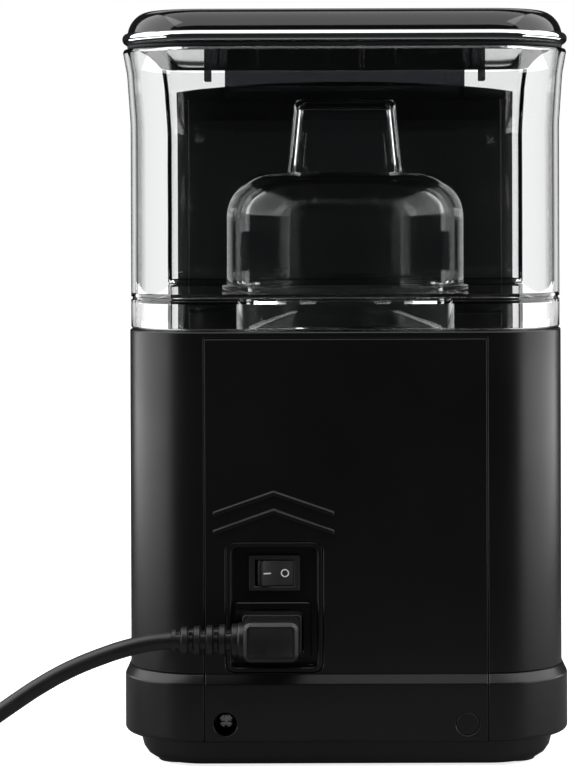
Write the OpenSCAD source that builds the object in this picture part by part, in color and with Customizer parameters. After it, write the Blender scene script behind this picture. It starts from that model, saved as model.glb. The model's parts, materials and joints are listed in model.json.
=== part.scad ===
// Burr coffee grinder with a clear lift-off hopper, a conical burr set and a detachable mains lead.
// X runs across, the front faces -Y, the inlet and switch are on the rear at +Y, and Z is up.

/* [Body] */
// Width of the upper housing
body_w = 180; // [170:1:190]
// Height at which the housing stands on the skirt
skirt_top = 38; // [36:1:39]
// Height of the housing's top face
body_top = 177.3; // [176:0.1:177.4]
// Thickness of the moulded walls
wall = 2.6; // [2.2:0.1:2.8]
// Corner radius at the rear of the housing
rear_r = 31; // [26:1:34]
// Corner radius at the front of the housing
front_r = 16; // [15:1:18]
// How far the skirt and the lid stand out past the housing
skirt_out = 2.3; // [1.8:0.1:2.5]
// Width of the rear cover
cover_w = 115.2; // [112:0.2:118]

/* [Hopper and lid] */
// Height of the hopper's rim
rim_top = 293.7; // [286:0.1:296]
// Width of the hopper below its flare
hopper_w = 179.2; // [170:0.2:179.4]
// How far the rim flares out
flare = 3.1; // [2:0.1:3.3]
// Wall of the hopper
hopper_wall = 2.8; // [2.2:0.1:3]
// Height of the gloss lid above its trim
dome_h = 9.4; // [7:0.1:12]

/* [Bean guard] */
// Radius of the clear dome over the burrs
guard_r = 53; // [52:0.5:54]
// Height of the dome
guard_h = 52; // [48:1:56]
// Height of the grip above the dome
grip_h = 33; // [24:1:34]

/* [Burrs and drive] */
// Largest radius of the cone burr
cone_r = 24; // [22:0.5:25]
// Outer radius of the ring burr
ring_burr_r = 32; // [31:0.5:33]
// Radius of the burr shaft
shaft_r = 5; // [4:0.5:6]
// Module of the gears
gear_m = 1.25; // [1.2:0.05:1.25]
// Teeth on the motor pinion and on the idler's small gear
small_teeth = 14; // [14:1:14]
// Teeth on the idler's large gear
large_teeth = 42; // [40:1:42]
// Teeth on the output gear
output_teeth = 48; // [46:1:48]
// Radius of the motor can
motor_r = 28; // [24:1:28]

/* [Container] */
// Width of the bay's opening
bay_w = 92.8; // [88:0.4:94]
// Height of the bay's ceiling
bay_top = 104.6; // [102:0.2:104.6]

/* [Mains lead] */
// Diameter of the cord
cord_d = 7; // [6:0.5:7]
// Radius of the coil at the middle of its turns
coil_r = 40; // [38:0.5:42]

/* [Hidden] */
$fn = 64;
gap = 0.05;                 // clearance of a shaft or a pressed piece

// Plan of the machine
half_w = body_w / 2;
rear_y = 113;               // rear face of the housing
front_y = -101;             // front face of the housing, behind the fascia
fascia_y = -109;            // front face of the fascia
reach_y = rear_y + skirt_out;   // furthest point of the body and of the dial, each way
skirt_bottom = 10.5;
pan_bottom = 1.2;
chamfer_z = skirt_top - 3.8;
fascia_w = 172;
fascia_top = 287.7;
arch_r = 748;               // radius of the fascia's top edge
cover_top = body_top - 2.9;

// Burr axis and gear centres, seen from above
burr_y = 7;
pinion_r = gear_m * small_teeth / 2;
large_r = gear_m * large_teeth / 2;
output_r = gear_m * output_teeth / 2;
idler_angle = 80;
motor_angle = 150;
idler_x = (pinion_r + output_r) * cos(idler_angle);
idler_y = burr_y + (pinion_r + output_r) * sin(idler_angle);
motor_x = idler_x + (pinion_r + large_r) * cos(motor_angle);
motor_y = idler_y + (pinion_r + large_r) * sin(motor_angle);

// Levels of the drive
deck_z = 101;               // underside of the gearbox base
lower_gear_z = 106;
upper_gear_z = 112;
cover_z = 122;              // underside of the gearbox cover's top
chamber_z = 125;
chamber_r = 41;
cone_z = 132;
cone_top = 156;
ring_z = 138;
adjust_z = 152.3;
arm_z = 155;

// Hopper levels
hopper_bottom = body_top + 0.7;
floor_z = 190.5;
neck_r = 48.9;
spigot_r = 37;
hopper_rear = rear_y - 0.7;
hopper_front = front_y + 2.9;
lid_z = rim_top + 0.2;
lid_half = half_w + 3;

// Switch and inlet on the rear cover
inlet_x = 29.3;
recess_w = 39.8;
recess_bottom = 38.4;
recess_top = 91.9;
switch_z = 78.6;
socket_z = 55.2;
panel_y = 107.5;            // outer face of the plate that carries the switch and the inlet
screw_x = 49.3;
screw_z = 18;
rocker_pivot_y = 104.5;
rocker_r = 8.3;
rocker_tilt = 8;

// Front controls
control_z = 130;
dial_x = 30;
slot_half = 33;
slot_bottom = 151;
slot_top = 164;
strip_r = 104;              // radius of the strip that closes the adjuster's slot
board_y = -90.4;

// Mains lead
plug_axis_y = 129;          // where the cord leaves the angled connector
plug_axis_z = 54.6;
relief_end = 70;
coil_x = 207;
coil_y = 78;
coil_section = [14.8, 14.8];    // two turns side by side and two high
coil_z = 7.5;
cord_points = [[70, 129, 54.6], [78, 129, 53.8], [88, 129, 51.6], [99, 129, 48], [111, 128.6, 43],
    [123, 128, 36.4], [135, 127.2, 28.4], [147, 126, 20], [159, 124.8, 12.6], [171, 123.4, 7.2],
    [182, 122.3, 4.6], [193, 121.7, 3.9], [203, 121.6, 3.9]];
tail_points = [[250.6, 78, 11.1], [250.9, 67, 10], [250.6, 56, 7.6], [249.4, 45, 5.2],
    [247.2, 34.5, 4.2], [244.2, 24.5, 5.4], [240.8, 15, 8.8], [237.2, 6, 13.2], [233.6, -2, 16.8],
    [230.2, -9.5, 18.6], [227.4, -16, 19]];
plug_at = [227.4, -16, 19];
plug_turn = -113;           // heading of the plug, in degrees from +X

// ---- shared shapes ----

// Rounded rectangle whose front and rear corners differ.
module plan(half, front, rear, rf, rr) {
    for (s = [-1, 1]) {
        translate([s * (half - rr), rear - rr]) circle(rr);
        translate([s * (half - rf), front + rf]) circle(rf);
    }
    polygon([[rf - half, front], [half - rf, front], [half, front + rf], [half, rear - rr],
        [half - rr, rear], [rr - half, rear], [-half, rear - rr], [-half, front + rf]]);
}

module box_between(low, high) {
    translate(low) cube(high - low);
}

// Carries a profile round such a plan. The profile's x is 0 on the plan's outline.
module edge_sweep(half, front, rear, rf, rr) {
    translate([half - rr, rear - rr, 0]) rotate_extrude(angle = 90) translate([rr, 0]) children();
    translate([rr - half, rear - rr, 0]) rotate(90) rotate_extrude(angle = 90)
        translate([rr, 0]) children();
    translate([rf - half, front + rf, 0]) rotate(180) rotate_extrude(angle = 90)
        translate([rf, 0]) children();
    translate([half - rf, front + rf, 0]) rotate(270) rotate_extrude(angle = 90)
        translate([rf, 0]) children();
    side = rear - rr - front - rf;
    translate([half, rear - rr, 0]) rotate([90, 0, 0]) linear_extrude(side) children();
    translate([-half, front + rf, 0]) rotate([90, 0, 180]) linear_extrude(side) children();
    translate([rr - half, rear, 0]) rotate([90, 0, 90]) linear_extrude(2 * (half - rr)) children();
    translate([half - rf, front, 0]) rotate([90, 0, 270]) linear_extrude(2 * (half - rf)) children();
}

// Rounded rectangle about its own centre.
module rounded(w, h, r) {
    for (x = [-1, 1], y = [-1, 1]) translate([x * (w / 2 - r), y * (h / 2 - r)]) circle(r);
    square([w, h - 2 * r], center = true);
    square([w - 2 * r, h], center = true);
}

// Draws a flat shape in the XZ plane and gives it depth from y0 to y1.
module upright(y0, y1) {
    translate([0, y1, 0]) rotate([90, 0, 0]) linear_extrude(y1 - y0) children();
}

module rod_y(r, y0, y1) {
    translate([0, y1, 0]) rotate([90, 0, 0]) cylinder(r = r, h = y1 - y0);
}

module tube_z(r_out, r_in, z0, z1) {
    translate([0, 0, z0]) difference() {
        cylinder(r = r_out, h = z1 - z0);
        translate([0, 0, -1]) cylinder(r = r_in, h = z1 - z0 + 2);
    }
}

// Angle between an involute's start and the point where it reaches radius r.
function involute(base, r) = tan(acos(base / r)) * 180 / PI - acos(base / r);

// Spur gear with 20 degree involute teeth, a tooth on the x axis and 0.25 mm of backlash.
module gear_plan(teeth) {
    pitch = gear_m * teeth / 2;
    base = pitch * cos(20);
    tip = pitch + 0.8 * gear_m;
    root = pitch - 1.05 * gear_m;
    half_tooth = 90 / teeth - 0.125 / pitch * 180 / PI + involute(base, pitch);
    rise = [for (k = [0:4]) base + 0.01 + (tip - base - 0.01) * k / 4];
    polygon([for (i = [0:teeth - 1]) let (at = i * 360 / teeth) each concat(
        [[root * cos(at - half_tooth), root * sin(at - half_tooth)]],
        [for (r = rise) let (a = at - half_tooth + involute(base, r)) [r * cos(a), r * sin(a)]],
        [for (k = [4:-1:0]) let (r = rise[k], a = at + half_tooth - involute(base, r))
            [r * cos(a), r * sin(a)]],
        [[root * cos(at + half_tooth), root * sin(at + half_tooth)]])]);
}

// Round tube through a list of points, with flat ends square to its route.
module swept_tube(route, r, sides) {
    last = len(route) - 1;
    ahead = [for (i = [0:last]) let (d = route[min(i + 1, last)] - route[max(i - 1, 0)]) d / norm(d)];
    rings = [for (i = [0:last]) let (side = cross(ahead[i], [0, 0, 1]), s = side / norm(side),
        up = cross(s, ahead[i])) for (k = [0:sides - 1])
        route[i] + r * (cos(360 * k / sides) * s + sin(360 * k / sides) * up)];
    polyhedron(rings, concat([[for (k = [0:sides - 1]) k]],
        [for (i = [0:last - 1], k = [0:sides - 1]) [i * sides + k, (i + 1) * sides + k,
            (i + 1) * sides + (k + 1) % sides, i * sides + (k + 1) % sides]],
        [[for (k = [sides - 1:-1:0]) last * sides + k]]));
}

// Points of a Catmull-Rom curve through hand-placed points, steps to a stretch.
function through(p, steps) = [for (i = [0:len(p) - 2], k = [0:steps - 1])
    let (t = k / steps, a = p[max(i - 1, 0)], b = p[i], c = p[i + 1], d = p[min(i + 2, len(p) - 1)])
    0.5 * (2 * b + (c - a) * t + (2 * a - 5 * b + 4 * c - d) * t * t
        + (3 * b - a - 3 * c + d) * t * t * t), p[len(p) - 1]];

// ---- casing ----

// Levels of the base pan: height, half width, rear, rear radius, front and front radius.
pan_levels = [[skirt_bottom, 86, reach_y - 2.8, 28, -105.3, 14], [5, 84.4, reach_y - 3, 26.4, -104, 12.7],
    [2.6, 82.4, reach_y - 3.3, 24.4, -102, 10.7], [pan_bottom, 79.4, reach_y - 4, 21.4, -99, 7.7]];

base_screw_at = [[70, 55], [70, -55], [-70, 55], [-70, -55]];
foot_at = [[69, 94], [69, -84], [-69, 94], [-69, -84]];

// Solid that narrows towards the floor, smaller by inset and higher by lift.
module pan_solid(inset, lift) {
    hull() for (p = pan_levels) translate([0, 0, p[0] + lift]) linear_extrude(0.01)
        plan(p[1] - inset, p[4] + inset, p[2] - inset, p[5] - inset, p[3] - inset);
}

module base_pan() {
    color("#161617") difference() {
        union() {
            difference() {
                pan_solid(0, 0);
                pan_solid(2.2, 2);
            }
            for (s = [-1, 1]) box_between([s * screw_x - 6, 86, 3], [s * screw_x + 6, 99.4, 25]);
        }
        for (p = foot_at) translate([p[0], p[1], 0]) cylinder(r = 4.1, h = 9);
        for (p = base_screw_at) translate([p[0], p[1], 0]) cylinder(r = 2.2, h = 9);
        for (s = [-1, 1]) translate([s * screw_x, 0, screw_z]) rod_y(1.95, 85, 105);
    }
}

module rubber_feet() {
    color("#202020") for (p = foot_at) translate([p[0], p[1], 0]) {
        cylinder(r = 9, h = pan_bottom);
        cylinder(r = 4, h = 6);
    }
}

// Pan-head screw along +Z, its head's top at the origin.
module pan_head(head_r, head_h, shank) {
    difference() {
        cylinder(r = head_r, h = head_h);
        for (turn = [0, 90]) rotate(turn) translate([0, 0, 0.4])
            cube([head_r * 1.3, 0.9, 1], center = true);
    }
    translate([0, 0, head_h]) cylinder(r = 1.75, h = shank);
}

module case_screws() {
    color("#9a9c9e") {
        for (p = base_screw_at) translate([p[0], p[1], 0.15]) pan_head(3.4, 1, 12);
        for (s = [-1, 1]) translate([s * screw_x, 107.6, screw_z]) rotate([90, 0, 0])
            pan_head(4, 2.5, 14);
    }
}

skirt_profile = [[-1.6, skirt_bottom], [-0.5, skirt_bottom + 0.5], [0, skirt_bottom + 1.6],
    [0, chamfer_z], [-skirt_out, skirt_top], [-skirt_out - wall, skirt_top],
    [-skirt_out - wall, skirt_top - 3], [-wall, chamfer_z - 4], [-wall, skirt_bottom]];

rib_end = half_w + skirt_out - wall + 0.2;

module lower_skirt() {
    color("#19191a") difference() {
        union() {
            edge_sweep(half_w + skirt_out, fascia_y - skirt_out, reach_y, front_r + skirt_out,
                rear_r + skirt_out) polygon(skirt_profile);
            box_between([-81, fascia_y + 1, skirt_top - 2], [81, front_y, skirt_top]);
            for (p = base_screw_at) {
                translate([p[0], p[1], 0]) tube_z(4, 1.8, 3.3, 16);
                side = sign(p[0]);
                box_between([min(side * 73.5, side * rib_end), p[1] - 1, 10.6],
                    [max(side * 73.5, side * rib_end), p[1] + 1, 16]);
            }
        }
        box_between([-bay_w / 2, -120, 18], [bay_w / 2, front_y + 1, 60]);
        box_between([-cover_w / 2 - 0.2, 100, 0], [cover_w / 2 + 0.2, 130, 60]);
    }
}

module upper_housing() {
    color("#1b1b1c") difference() {
        union() {
            difference() {
                translate([0, 0, skirt_top]) linear_extrude(body_top - skirt_top)
                    plan(half_w, front_y, rear_y, front_r, rear_r);
                translate([0, 0, skirt_top - 1]) linear_extrude(body_top - skirt_top - wall + 1)
                    plan(half_w - wall, front_y + wall, rear_y - wall, front_r - wall, rear_r - wall);
            }
            translate([0, burr_y, 0]) cylinder(r = spigot_r + 4.2, h = body_top - 1);
            for (s = [-1, 1]) box_between([s * 58.6 - 3.4, rear_y - 5.4, skirt_top + 0.1],
                [s * 58.6 + 3.4, rear_y - wall - 0.02, cover_top]);
            for (x = [-40, 40], z = [116, 144]) translate([x, 0, z]) rod_y(2.5, front_y + 1, board_y);
        }
        translate([0, burr_y, 0]) cylinder(r = spigot_r + 1.6, h = 200);
        translate([0, burr_y, 0]) cylinder(r = 60, h = adjust_z + 14.4);
        box_between([-cover_w / 2 - 0.2, rear_y - wall - 0.02, 0], [cover_w / 2 + 0.2, 130, cover_top + 0.2]);
        box_between([-bay_w / 2, front_y - 1, 0], [bay_w / 2, front_y + wall + 1, bay_top]);
        box_between([-slot_half, front_y - 1, slot_bottom], [slot_half, front_y + wall + 1, slot_top]);
        for (x = [-dial_x, dial_x]) translate([x, 0, control_z]) rod_y(3.4, front_y - 1, front_y + 4);
    }
}

// Raised chevron, its point at the top.
module chevron(x0, x1, z_low, z_high) {
    mid = (x0 + x1) / 2;
    polygon([[x0, z_low], [mid, z_high], [x1, z_low], [x1, z_low + 1.5], [mid, z_high + 1.5],
        [x0, z_low + 1.5]]);
}

cover_profile = [[reach_y - 0.8, skirt_bottom], [reach_y, skirt_bottom + 1], [reach_y, chamfer_z],
    [rear_y, skirt_top], [rear_y, cover_top], [rear_y - wall, cover_top], [rear_y - wall, skirt_top - 3],
    [reach_y - wall, chamfer_z - 4], [reach_y - wall, skirt_bottom]];

module rear_cover() {
    color("#1a1a1b") difference() {
        union() {
            translate([-cover_w / 2, 0, 0]) rotate([90, 0, 90]) linear_extrude(cover_w)
                polygon(cover_profile);
            upright(rear_y - 0.5, rear_y + 1) {
                chevron(5, 54, 102.5, 111);
                chevron(5, 54, 95, 103.6);
            }
            for (s = [-1, 1]) translate([s * screw_x, 0, screw_z]) rod_y(6.6, 100, reach_y - 1);
            box_between([-50, rear_y - wall - 1.8, cover_top - 6], [50, rear_y - wall, cover_top + 0.2]);
        }
        translate([inlet_x, 0, (recess_bottom + recess_top) / 2]) upright(90, 130)
            rounded(recess_w, recess_top - recess_bottom, 4);
        for (s = [-1, 1]) translate([s * screw_x, 0, screw_z]) {
            rod_y(4.75, 105, 130);
            rod_y(2, 95, 110);
        }
    }
}

module screw_cap() {
    color("#1a1a1b") translate([-screw_x, 0, screw_z]) rod_y(4.65, 112.6, reach_y - 0.15);
}

// ---- switch and inlet ----

recess_mid = (recess_bottom + recess_top) / 2;
recess_h = recess_top - recess_bottom;

module inlet_panel() {
    color("#141415") difference() {
        translate([inlet_x, 0, recess_mid]) difference() {
            union() {
                upright(panel_y - 2, rear_y - 0.3) rounded(recess_w - 0.3, recess_h - 0.3, 3.9);
                upright(panel_y - 1, rear_y - wall - 0.02) translate([0, 1.5])
                    rounded(recess_w + 5, recess_h + 2, 4);
            }
            upright(panel_y, rear_y + 1) rounded(recess_w - 4.4, recess_h - 4.4, 2.6);
        }
        translate([inlet_x, 0, switch_z]) upright(90, 120) square([19.3, 12.9], center = true);
        translate([inlet_x + 0.8, 0, socket_z]) upright(90, 120) square([27.5, 20.1], center = true);
    }
}

// Outline of the mains socket, its two upper corners cut off.
module socket_outline(w, h, cut) {
    polygon([[-w / 2, -h / 2], [w / 2, -h / 2], [w / 2, h / 2 - cut], [w / 2 - cut, h / 2],
        [cut - w / 2, h / 2], [-w / 2, h / 2 - cut]]);
}

module inlet_socket() {
    color("#1c1c1d") translate([inlet_x + 0.8, 0, socket_z]) difference() {
        union() {
            upright(panel_y + 0.02, panel_y + 2.2) rounded(31.6, 23, 1.6);
            upright(86, panel_y + 1) square([27.4, 20], center = true);
        }
        upright(90, 120) socket_outline(24.8, 17.2, 4.4);
        for (x = [-7, 0, 7]) translate([x, 0, x == 0 ? 2 : -2]) upright(80, 95)
            square([2.1, 4.1], center = true);
    }
}

module inlet_pins() {
    color("#c9c4b4") translate([inlet_x + 0.8, 0, socket_z]) for (x = [-7, 0, 7])
        translate([x, 0, x == 0 ? 2 : -2]) upright(78, 105) square([2, 4], center = true);
}

module switch_body() {
    color("#18181a") translate([inlet_x, 0, switch_z]) {
        difference() {
            union() {
                upright(panel_y + 0.02, panel_y + 2) rounded(20.9, 14.6, 0.8);
                upright(90, panel_y + 1) square([19.2, 12.8], center = true);
            }
            upright(panel_y - 1, 120) square([15.9, 10.8], center = true);
            upright(94, panel_y) square([17, 10.8], center = true);
        }
        for (x = [-5, 5]) translate([x, 0, 0]) upright(82, 90.5) square([0.8, 6.3], center = true);
    }
}

module switch_rocker() {
    color("#1d1d20") translate([inlet_x, rocker_pivot_y, switch_z - 5.1]) rotate(rocker_tilt)
        linear_extrude(10.2) intersection() {
            circle(rocker_r);
            polygon([[-9, 6.3], [0, 4.7], [9, 6.3], [9, -3], [3, -6], [-3, -6], [-9, -3]]);
        }
}

// ---- front ----

module fascia_outline() {
    intersection() {
        translate([0, (290 + skirt_top) / 2]) rounded(fascia_w, 290 - skirt_top, 5);
        translate([0, fascia_top - arch_r]) circle(arch_r, $fn = 360);
    }
    translate([-fascia_w / 2, skirt_top]) square([fascia_w, 12]);
}

module front_fascia() {
    color("#161617") difference() {
        upright(fascia_y, front_y) fascia_outline();
        box_between([-78, fascia_y + wall, body_top + 4], [78, front_y + 1, 279]);
        box_between([-bay_w / 2, -120, 0], [bay_w / 2, -90, bay_top]);
        box_between([-slot_half, -120, slot_bottom], [slot_half, -90, slot_top]);
        translate([dial_x, 0, control_z]) rod_y(3.4, -120, -90);
        translate([-dial_x, 0, control_z]) {
            rod_y(10.3, -120, front_y - 1.5);
            rod_y(3.4, -120, -90);
        }
        translate([0, 0, 249]) {
            upright(-120, fascia_y + 1.5) rounded(60, 32, 4);
            upright(-120, -100) rounded(54, 26, 2);
        }
    }
}

module fascia_back() {
    color("#161617") upright(front_y - 2, front_y) translate([0, (body_top + 283) / 2])
        square([155.8, 279 - body_top - 4.2], center = true);
}

module display_lens() {
    color("#0c0d10") translate([0, 0, 249]) upright(fascia_y + 0.2, fascia_y + 1.5)
        rounded(59.7, 31.7, 3.9);
}

module display_board() {
    color("#2c5a3c") {
        box_between([-34, -104.6, 230], [34, -103.2, 268]);
        box_between([-24, -106.2, 238], [24, -104.6, 260]);
    }
}

module start_button() {
    color("#8c8e90") translate([-dial_x, 0, control_z]) {
        rod_y(10, fascia_y - 3.6, -105.4);
        rod_y(3, -105.4, -95.4);
    }
}

module button_ring() {
    color("#c8cacc") translate([-dial_x, 0, control_z]) difference() {
        rod_y(12.6, fascia_y - 1.4, fascia_y);
        rod_y(10.3, fascia_y - 3, fascia_y + 2);
    }
}

module dose_dial() {
    color("#8c8e90") translate([dial_x, 0, control_z]) {
        difference() {
            rod_y(13, -reach_y, fascia_y - 0.3);
            for (a = [0:15:345]) rotate([0, a, 0]) translate([13.3, 0, 0]) rod_y(0.9, -120, fascia_y);
            translate([0, 0, 11]) rod_y(1.2, -120, -reach_y + 0.6);
        }
        rod_y(3, fascia_y - 0.5, -94.5);
    }
}

module dial_encoder() {
    color("#5b5e62") translate([dial_x, 0, control_z]) difference() {
        upright(-98, board_y) square([13, 13], center = true);
        rod_y(3 + gap, -99, -94.4);
    }
}

module control_board() {
    color("#27563a") box_between([-44, board_y, 112], [44, board_y + 1.6, 148]);
    color("#303235") {
        box_between([-41, board_y + 1.6, 118], [-25, board_y + 13, 136]);
        box_between([26, board_y + 1.6, 116], [41, board_y + 12, 132]);
        translate([-dial_x, 0, control_z]) upright(board_y - 2.2, board_y) square([6.4, 6.4], center = true);
    }
}

// ---- container ----

module container_bay() {
    half = bay_w / 2;
    color("#1b1b1c") difference() {
        union() {
            box_between([-half - 2, front_y + wall, 16], [half + 2, -34, bay_top + 2]);
            box_between([-half + 0.2, fascia_y + 0.4, 16], [half - 0.2, front_y + wall + 1, 18]);
            for (x = [-30, 30]) box_between([x - 1, -92, pan_bottom + 2.1], [x + 1, -40, 16]);
        }
        box_between([-half, -130, 18], [half, -36, bay_top]);
        box_between([-14.6, -70.6, 90], [14.6, -53.4, 120]);
    }
}

module grounds_container() {
    color([0.25, 0.25, 0.27, 0.6]) difference() {
        translate([0, 0, 18.3]) linear_extrude(78) plan(44.6, -106, -36.4, 4, 10);
        translate([0, 0, 20.5]) linear_extrude(80) plan(42.6, -104, -38.4, 2.5, 8);
        box_between([-26.1, -120, 57.9], [26.1, -100, 86.1]);
    }
}

// Front plate of the container, with the cup for the fingers behind its opening.
module container_handle() {
    color("#161617") difference() {
        union() {
            upright(fascia_y, -106.02) translate([0, 57.5]) rounded(bay_w - 1, 78, 3);
            box_between([-26, -106.5, 58], [26, -90, 86]);
        }
        box_between([-24, -120, 60], [24, -92, 84]);
    }
}

module container_lid() {
    color("#1a1a1b") difference() {
        union() {
            translate([0, 0, 96.4]) linear_extrude(2) plan(44.6, -106, -36.4, 4, 10);
            translate([0, 0, 92.4]) linear_extrude(4.5) plan(42.4, -103.8, -38.6, 2.4, 7.9);
        }
        translate([0, 0, 91]) linear_extrude(4.5) plan(40.6, -102, -40.4, 2, 6);
        box_between([-15.5, -71.5, 90], [15.5, -52.5, 102]);
    }
}

module chute() {
    color("#2a2a2c") difference() {
        translate([-14, 0, 0]) rotate([90, 0, 90]) linear_extrude(28)
            polygon([[-34.2, 143], [-50, 143], [-70, 122], [-70, 101.5], [-54, 101.5], [-54, 117],
                [-46, 126.4], [-34.2, 126.4]]);
        translate([-12.4, 0, 0]) rotate([90, 0, 90]) linear_extrude(24.8)
            polygon([[-33, 141.4], [-49.3, 141.4], [-68.4, 121.4], [-68.4, 100], [-55.6, 100],
                [-55.6, 117.6], [-46.7, 128], [-33, 128]]);
    }
}

// ---- gearbox and motor ----

module deck_outline() {
    translate([-8, 33.5]) rounded(96, 125, 6);
}

pillar_at = [[-50, -22], [34, -22], [-51.5, 81], [30, 66]];

module support_pillars() {
    color("#3a3a3c") for (p = pillar_at) translate([p[0], p[1], 0]) {
        difference() {
            translate([0, 0, pan_bottom + 2]) cylinder(r = 4, h = deck_z - pan_bottom - 2);
            translate([0, 0, deck_z - 14]) cylinder(r = 1.6, h = 20);
        }
    }
}

module gearbox_base() {
    color("#3f4144") difference() {
        union() {
            translate([0, 0, deck_z]) linear_extrude(3) deck_outline();
            translate([0, burr_y, deck_z - 5]) cylinder(r = 12, h = 6);
            difference() {
                translate([0, 0, deck_z + 2]) linear_extrude(cover_z - deck_z - 6) deck_outline();
                translate([0, 0, deck_z + 1]) linear_extrude(30) offset_deck(2.4);
            }
        }
        translate([0, burr_y, 0]) cylinder(r = 9 + gap, h = 150);
        translate([motor_x, motor_y, 0]) cylinder(r = 8, h = 150);
        translate([idler_x, idler_y, 0]) cylinder(r = 3, h = 150);
        for (p = pillar_at) translate([p[0], p[1], 0]) cylinder(r = 1.8, h = 150);
    }
}

module offset_deck(t) {
    translate([-8, 33.5]) rounded(96 - 2 * t, 125 - 2 * t, 6 - t);
}

module gearbox_cover() {
    color("#3f4144") difference() {
        translate([0, 0, cover_z - 4]) linear_extrude(7) deck_outline();
        translate([0, 0, cover_z - 5]) linear_extrude(5) offset_deck(2.4);
        translate([0, burr_y, 0]) cylinder(r = 11 + gap, h = 150);
        translate([idler_x, idler_y, 0]) cylinder(r = 3, h = 150);
    }
}

module motor_can() {
    color("#8d9094") translate([motor_x, motor_y, 0]) {
        difference() {
            translate([0, 0, 38]) cylinder(r = motor_r, h = deck_z - 38);
            translate([0, 0, 40]) cylinder(r = motor_r - 1.6, h = 58.6);
            cylinder(r = 2.5 + gap, h = 150);
            for (a = [45:90:315]) rotate(a) translate([18, 0, 30]) cylinder(r = 3, h = 12);
        }
        translate([0, 0, 34.5]) difference() {
            cylinder(r = 7, h = 3.5);
            translate([0, 0, 1.5]) cylinder(r = 2.5 + gap, h = 5);
        }
    }
}

module motor_magnets() {
    color("#4a4c50") translate([motor_x, motor_y, 47]) for (a = [30, 210]) rotate(a)
        rotate_extrude(angle = 120) translate([22.4, 0]) square([motor_r - 1.65 - 22.4, 38]);
}

module motor_rotor() {
    color("#9b5b34") translate([motor_x, motor_y, 0]) {
        translate([0, 0, 36.2]) cylinder(r = 2.5, h = lower_gear_z + 6 - 36.2);
        difference() {
            translate([0, 0, 50]) cylinder(r = 21.6, h = 32);
            for (a = [0:30:330]) rotate(a) translate([19, -1, 49]) cube([5, 2, 34]);
        }
        translate([0, 0, 84]) cylinder(r = 8, h = 10);
    }
}

module motor_pinion() {
    color("#c2a14d") translate([motor_x, motor_y, lower_gear_z - 0.5]) rotate(motor_angle + 180
        + 180 / small_teeth) difference() {
            linear_extrude(6) gear_plan(small_teeth);
            translate([0, 0, -1]) cylinder(r = 2.5 + gap, h = 9);
        }
}

module idler_gear() {
    color("#e4dfd0") translate([idler_x, idler_y, 0]) difference() {
        union() {
            translate([0, 0, lower_gear_z]) rotate(motor_angle) linear_extrude(5) gear_plan(large_teeth);
            translate([0, 0, lower_gear_z + 5]) rotate(idler_angle + 180 + 180 / small_teeth)
                linear_extrude(8.5) gear_plan(small_teeth);
        }
        cylinder(r = 3 + gap, h = 150);
    }
}

module idler_pin() {
    color("#b9bcc0") translate([idler_x, idler_y, deck_z + 0.2])
        cylinder(r = 3 - 0.02, h = cover_z + 2.6 - deck_z);
}

module output_gear() {
    color("#e4dfd0") translate([0, burr_y, 0]) difference() {
        union() {
            translate([0, 0, upper_gear_z + 0.5]) rotate(idler_angle) linear_extrude(6)
                gear_plan(output_teeth);
            translate([0, 0, upper_gear_z - 6]) cylinder(r = 10, h = 8);
        }
        cylinder(r = shaft_r + gap, h = 150);
    }
}

module burr_shaft() {
    color("#b9bcc0") translate([0, burr_y, 97]) cylinder(r = shaft_r, h = cone_top + 4 - 97);
}

module shaft_bearings() {
    color("#a9adb1") translate([0, burr_y, 0]) {
        tube_z(9, shaft_r + gap, 96.5, 104.5);
        tube_z(11, shaft_r + gap, 119.5, 127.6);
    }
}

// ---- burrs ----

module grinding_chamber() {
    color("#35373a") difference() {
        translate([0, burr_y, chamber_z]) difference() {
            cylinder(r = chamber_r, h = adjust_z - 0.3 - chamber_z);
            translate([0, 0, 3]) cylinder(r = 38.6, h = 40);
            translate([0, 0, -1]) cylinder(r = 11 + gap, h = 6);
        }
        box_between([-12.4, -45, chamber_z + 3], [12.4, burr_y - 20, chamber_z + 16.4]);
    }
}

module sweeper() {
    color("#d8d4c8") translate([0, burr_y, 0]) {
        tube_z(36, shaft_r + gap, 128.6, 131);
        for (a = [0:60:300]) rotate(a + 12) box_between([25.6, -1, 130.9], [35.4, 1, 137]);
    }
}

module lower_burr() {
    color("#a7abaf") translate([0, burr_y, 0]) difference() {
        union() {
            translate([0, 0, 131.05]) cylinder(r = cone_r, h = cone_z - 131.05);
            translate([0, 0, cone_z]) cylinder(r1 = cone_r, r2 = 13, h = cone_top - cone_z, $fn = 96);
        }
        cylinder(r = shaft_r + gap, h = 200);
        for (a = [0:45:315]) rotate(a) translate([20.5, 0, cone_z + 15]) rotate([0, -25, 24])
            cube([5, 4.4, 30], center = true);
        for (a = [0:15:345]) rotate(a + 7) translate([cone_r - 0.2, 0, cone_z + 3.4])
            rotate([0, -24, 20]) cube([1.6, 1.6, 9.6], center = true);
    }
}

module burr_nut() {
    color("#b9bcc0") translate([0, burr_y, cone_top + 0.05]) difference() {
        union() {
            cylinder(r = 9.6, h = 1.4);
            translate([0, 0, 1.3]) cylinder(r = 7.5, h = 4.4, $fn = 6);
        }
        translate([0, 0, -1]) cylinder(r = shaft_r + gap, h = 9);
    }
}

module upper_burr() {
    color("#a7abaf") translate([0, burr_y, ring_z]) difference() {
        rotate_extrude($fn = 96) polygon([[22.4, 0], [ring_burr_r, 0], [ring_burr_r, 18], [20.6, 18]]);
        for (a = [0:15:345]) rotate(a) translate([21.9, 0, 2.6]) rotate([0, 0, -20])
            cube([2.4, 1.7, 8], center = true);
        for (a = [0:45:315]) rotate(a + 7) translate([21, 0, 14]) rotate([0, 0, -20])
            cube([6.4, 4.6, 12], center = true);
    }
}

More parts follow.
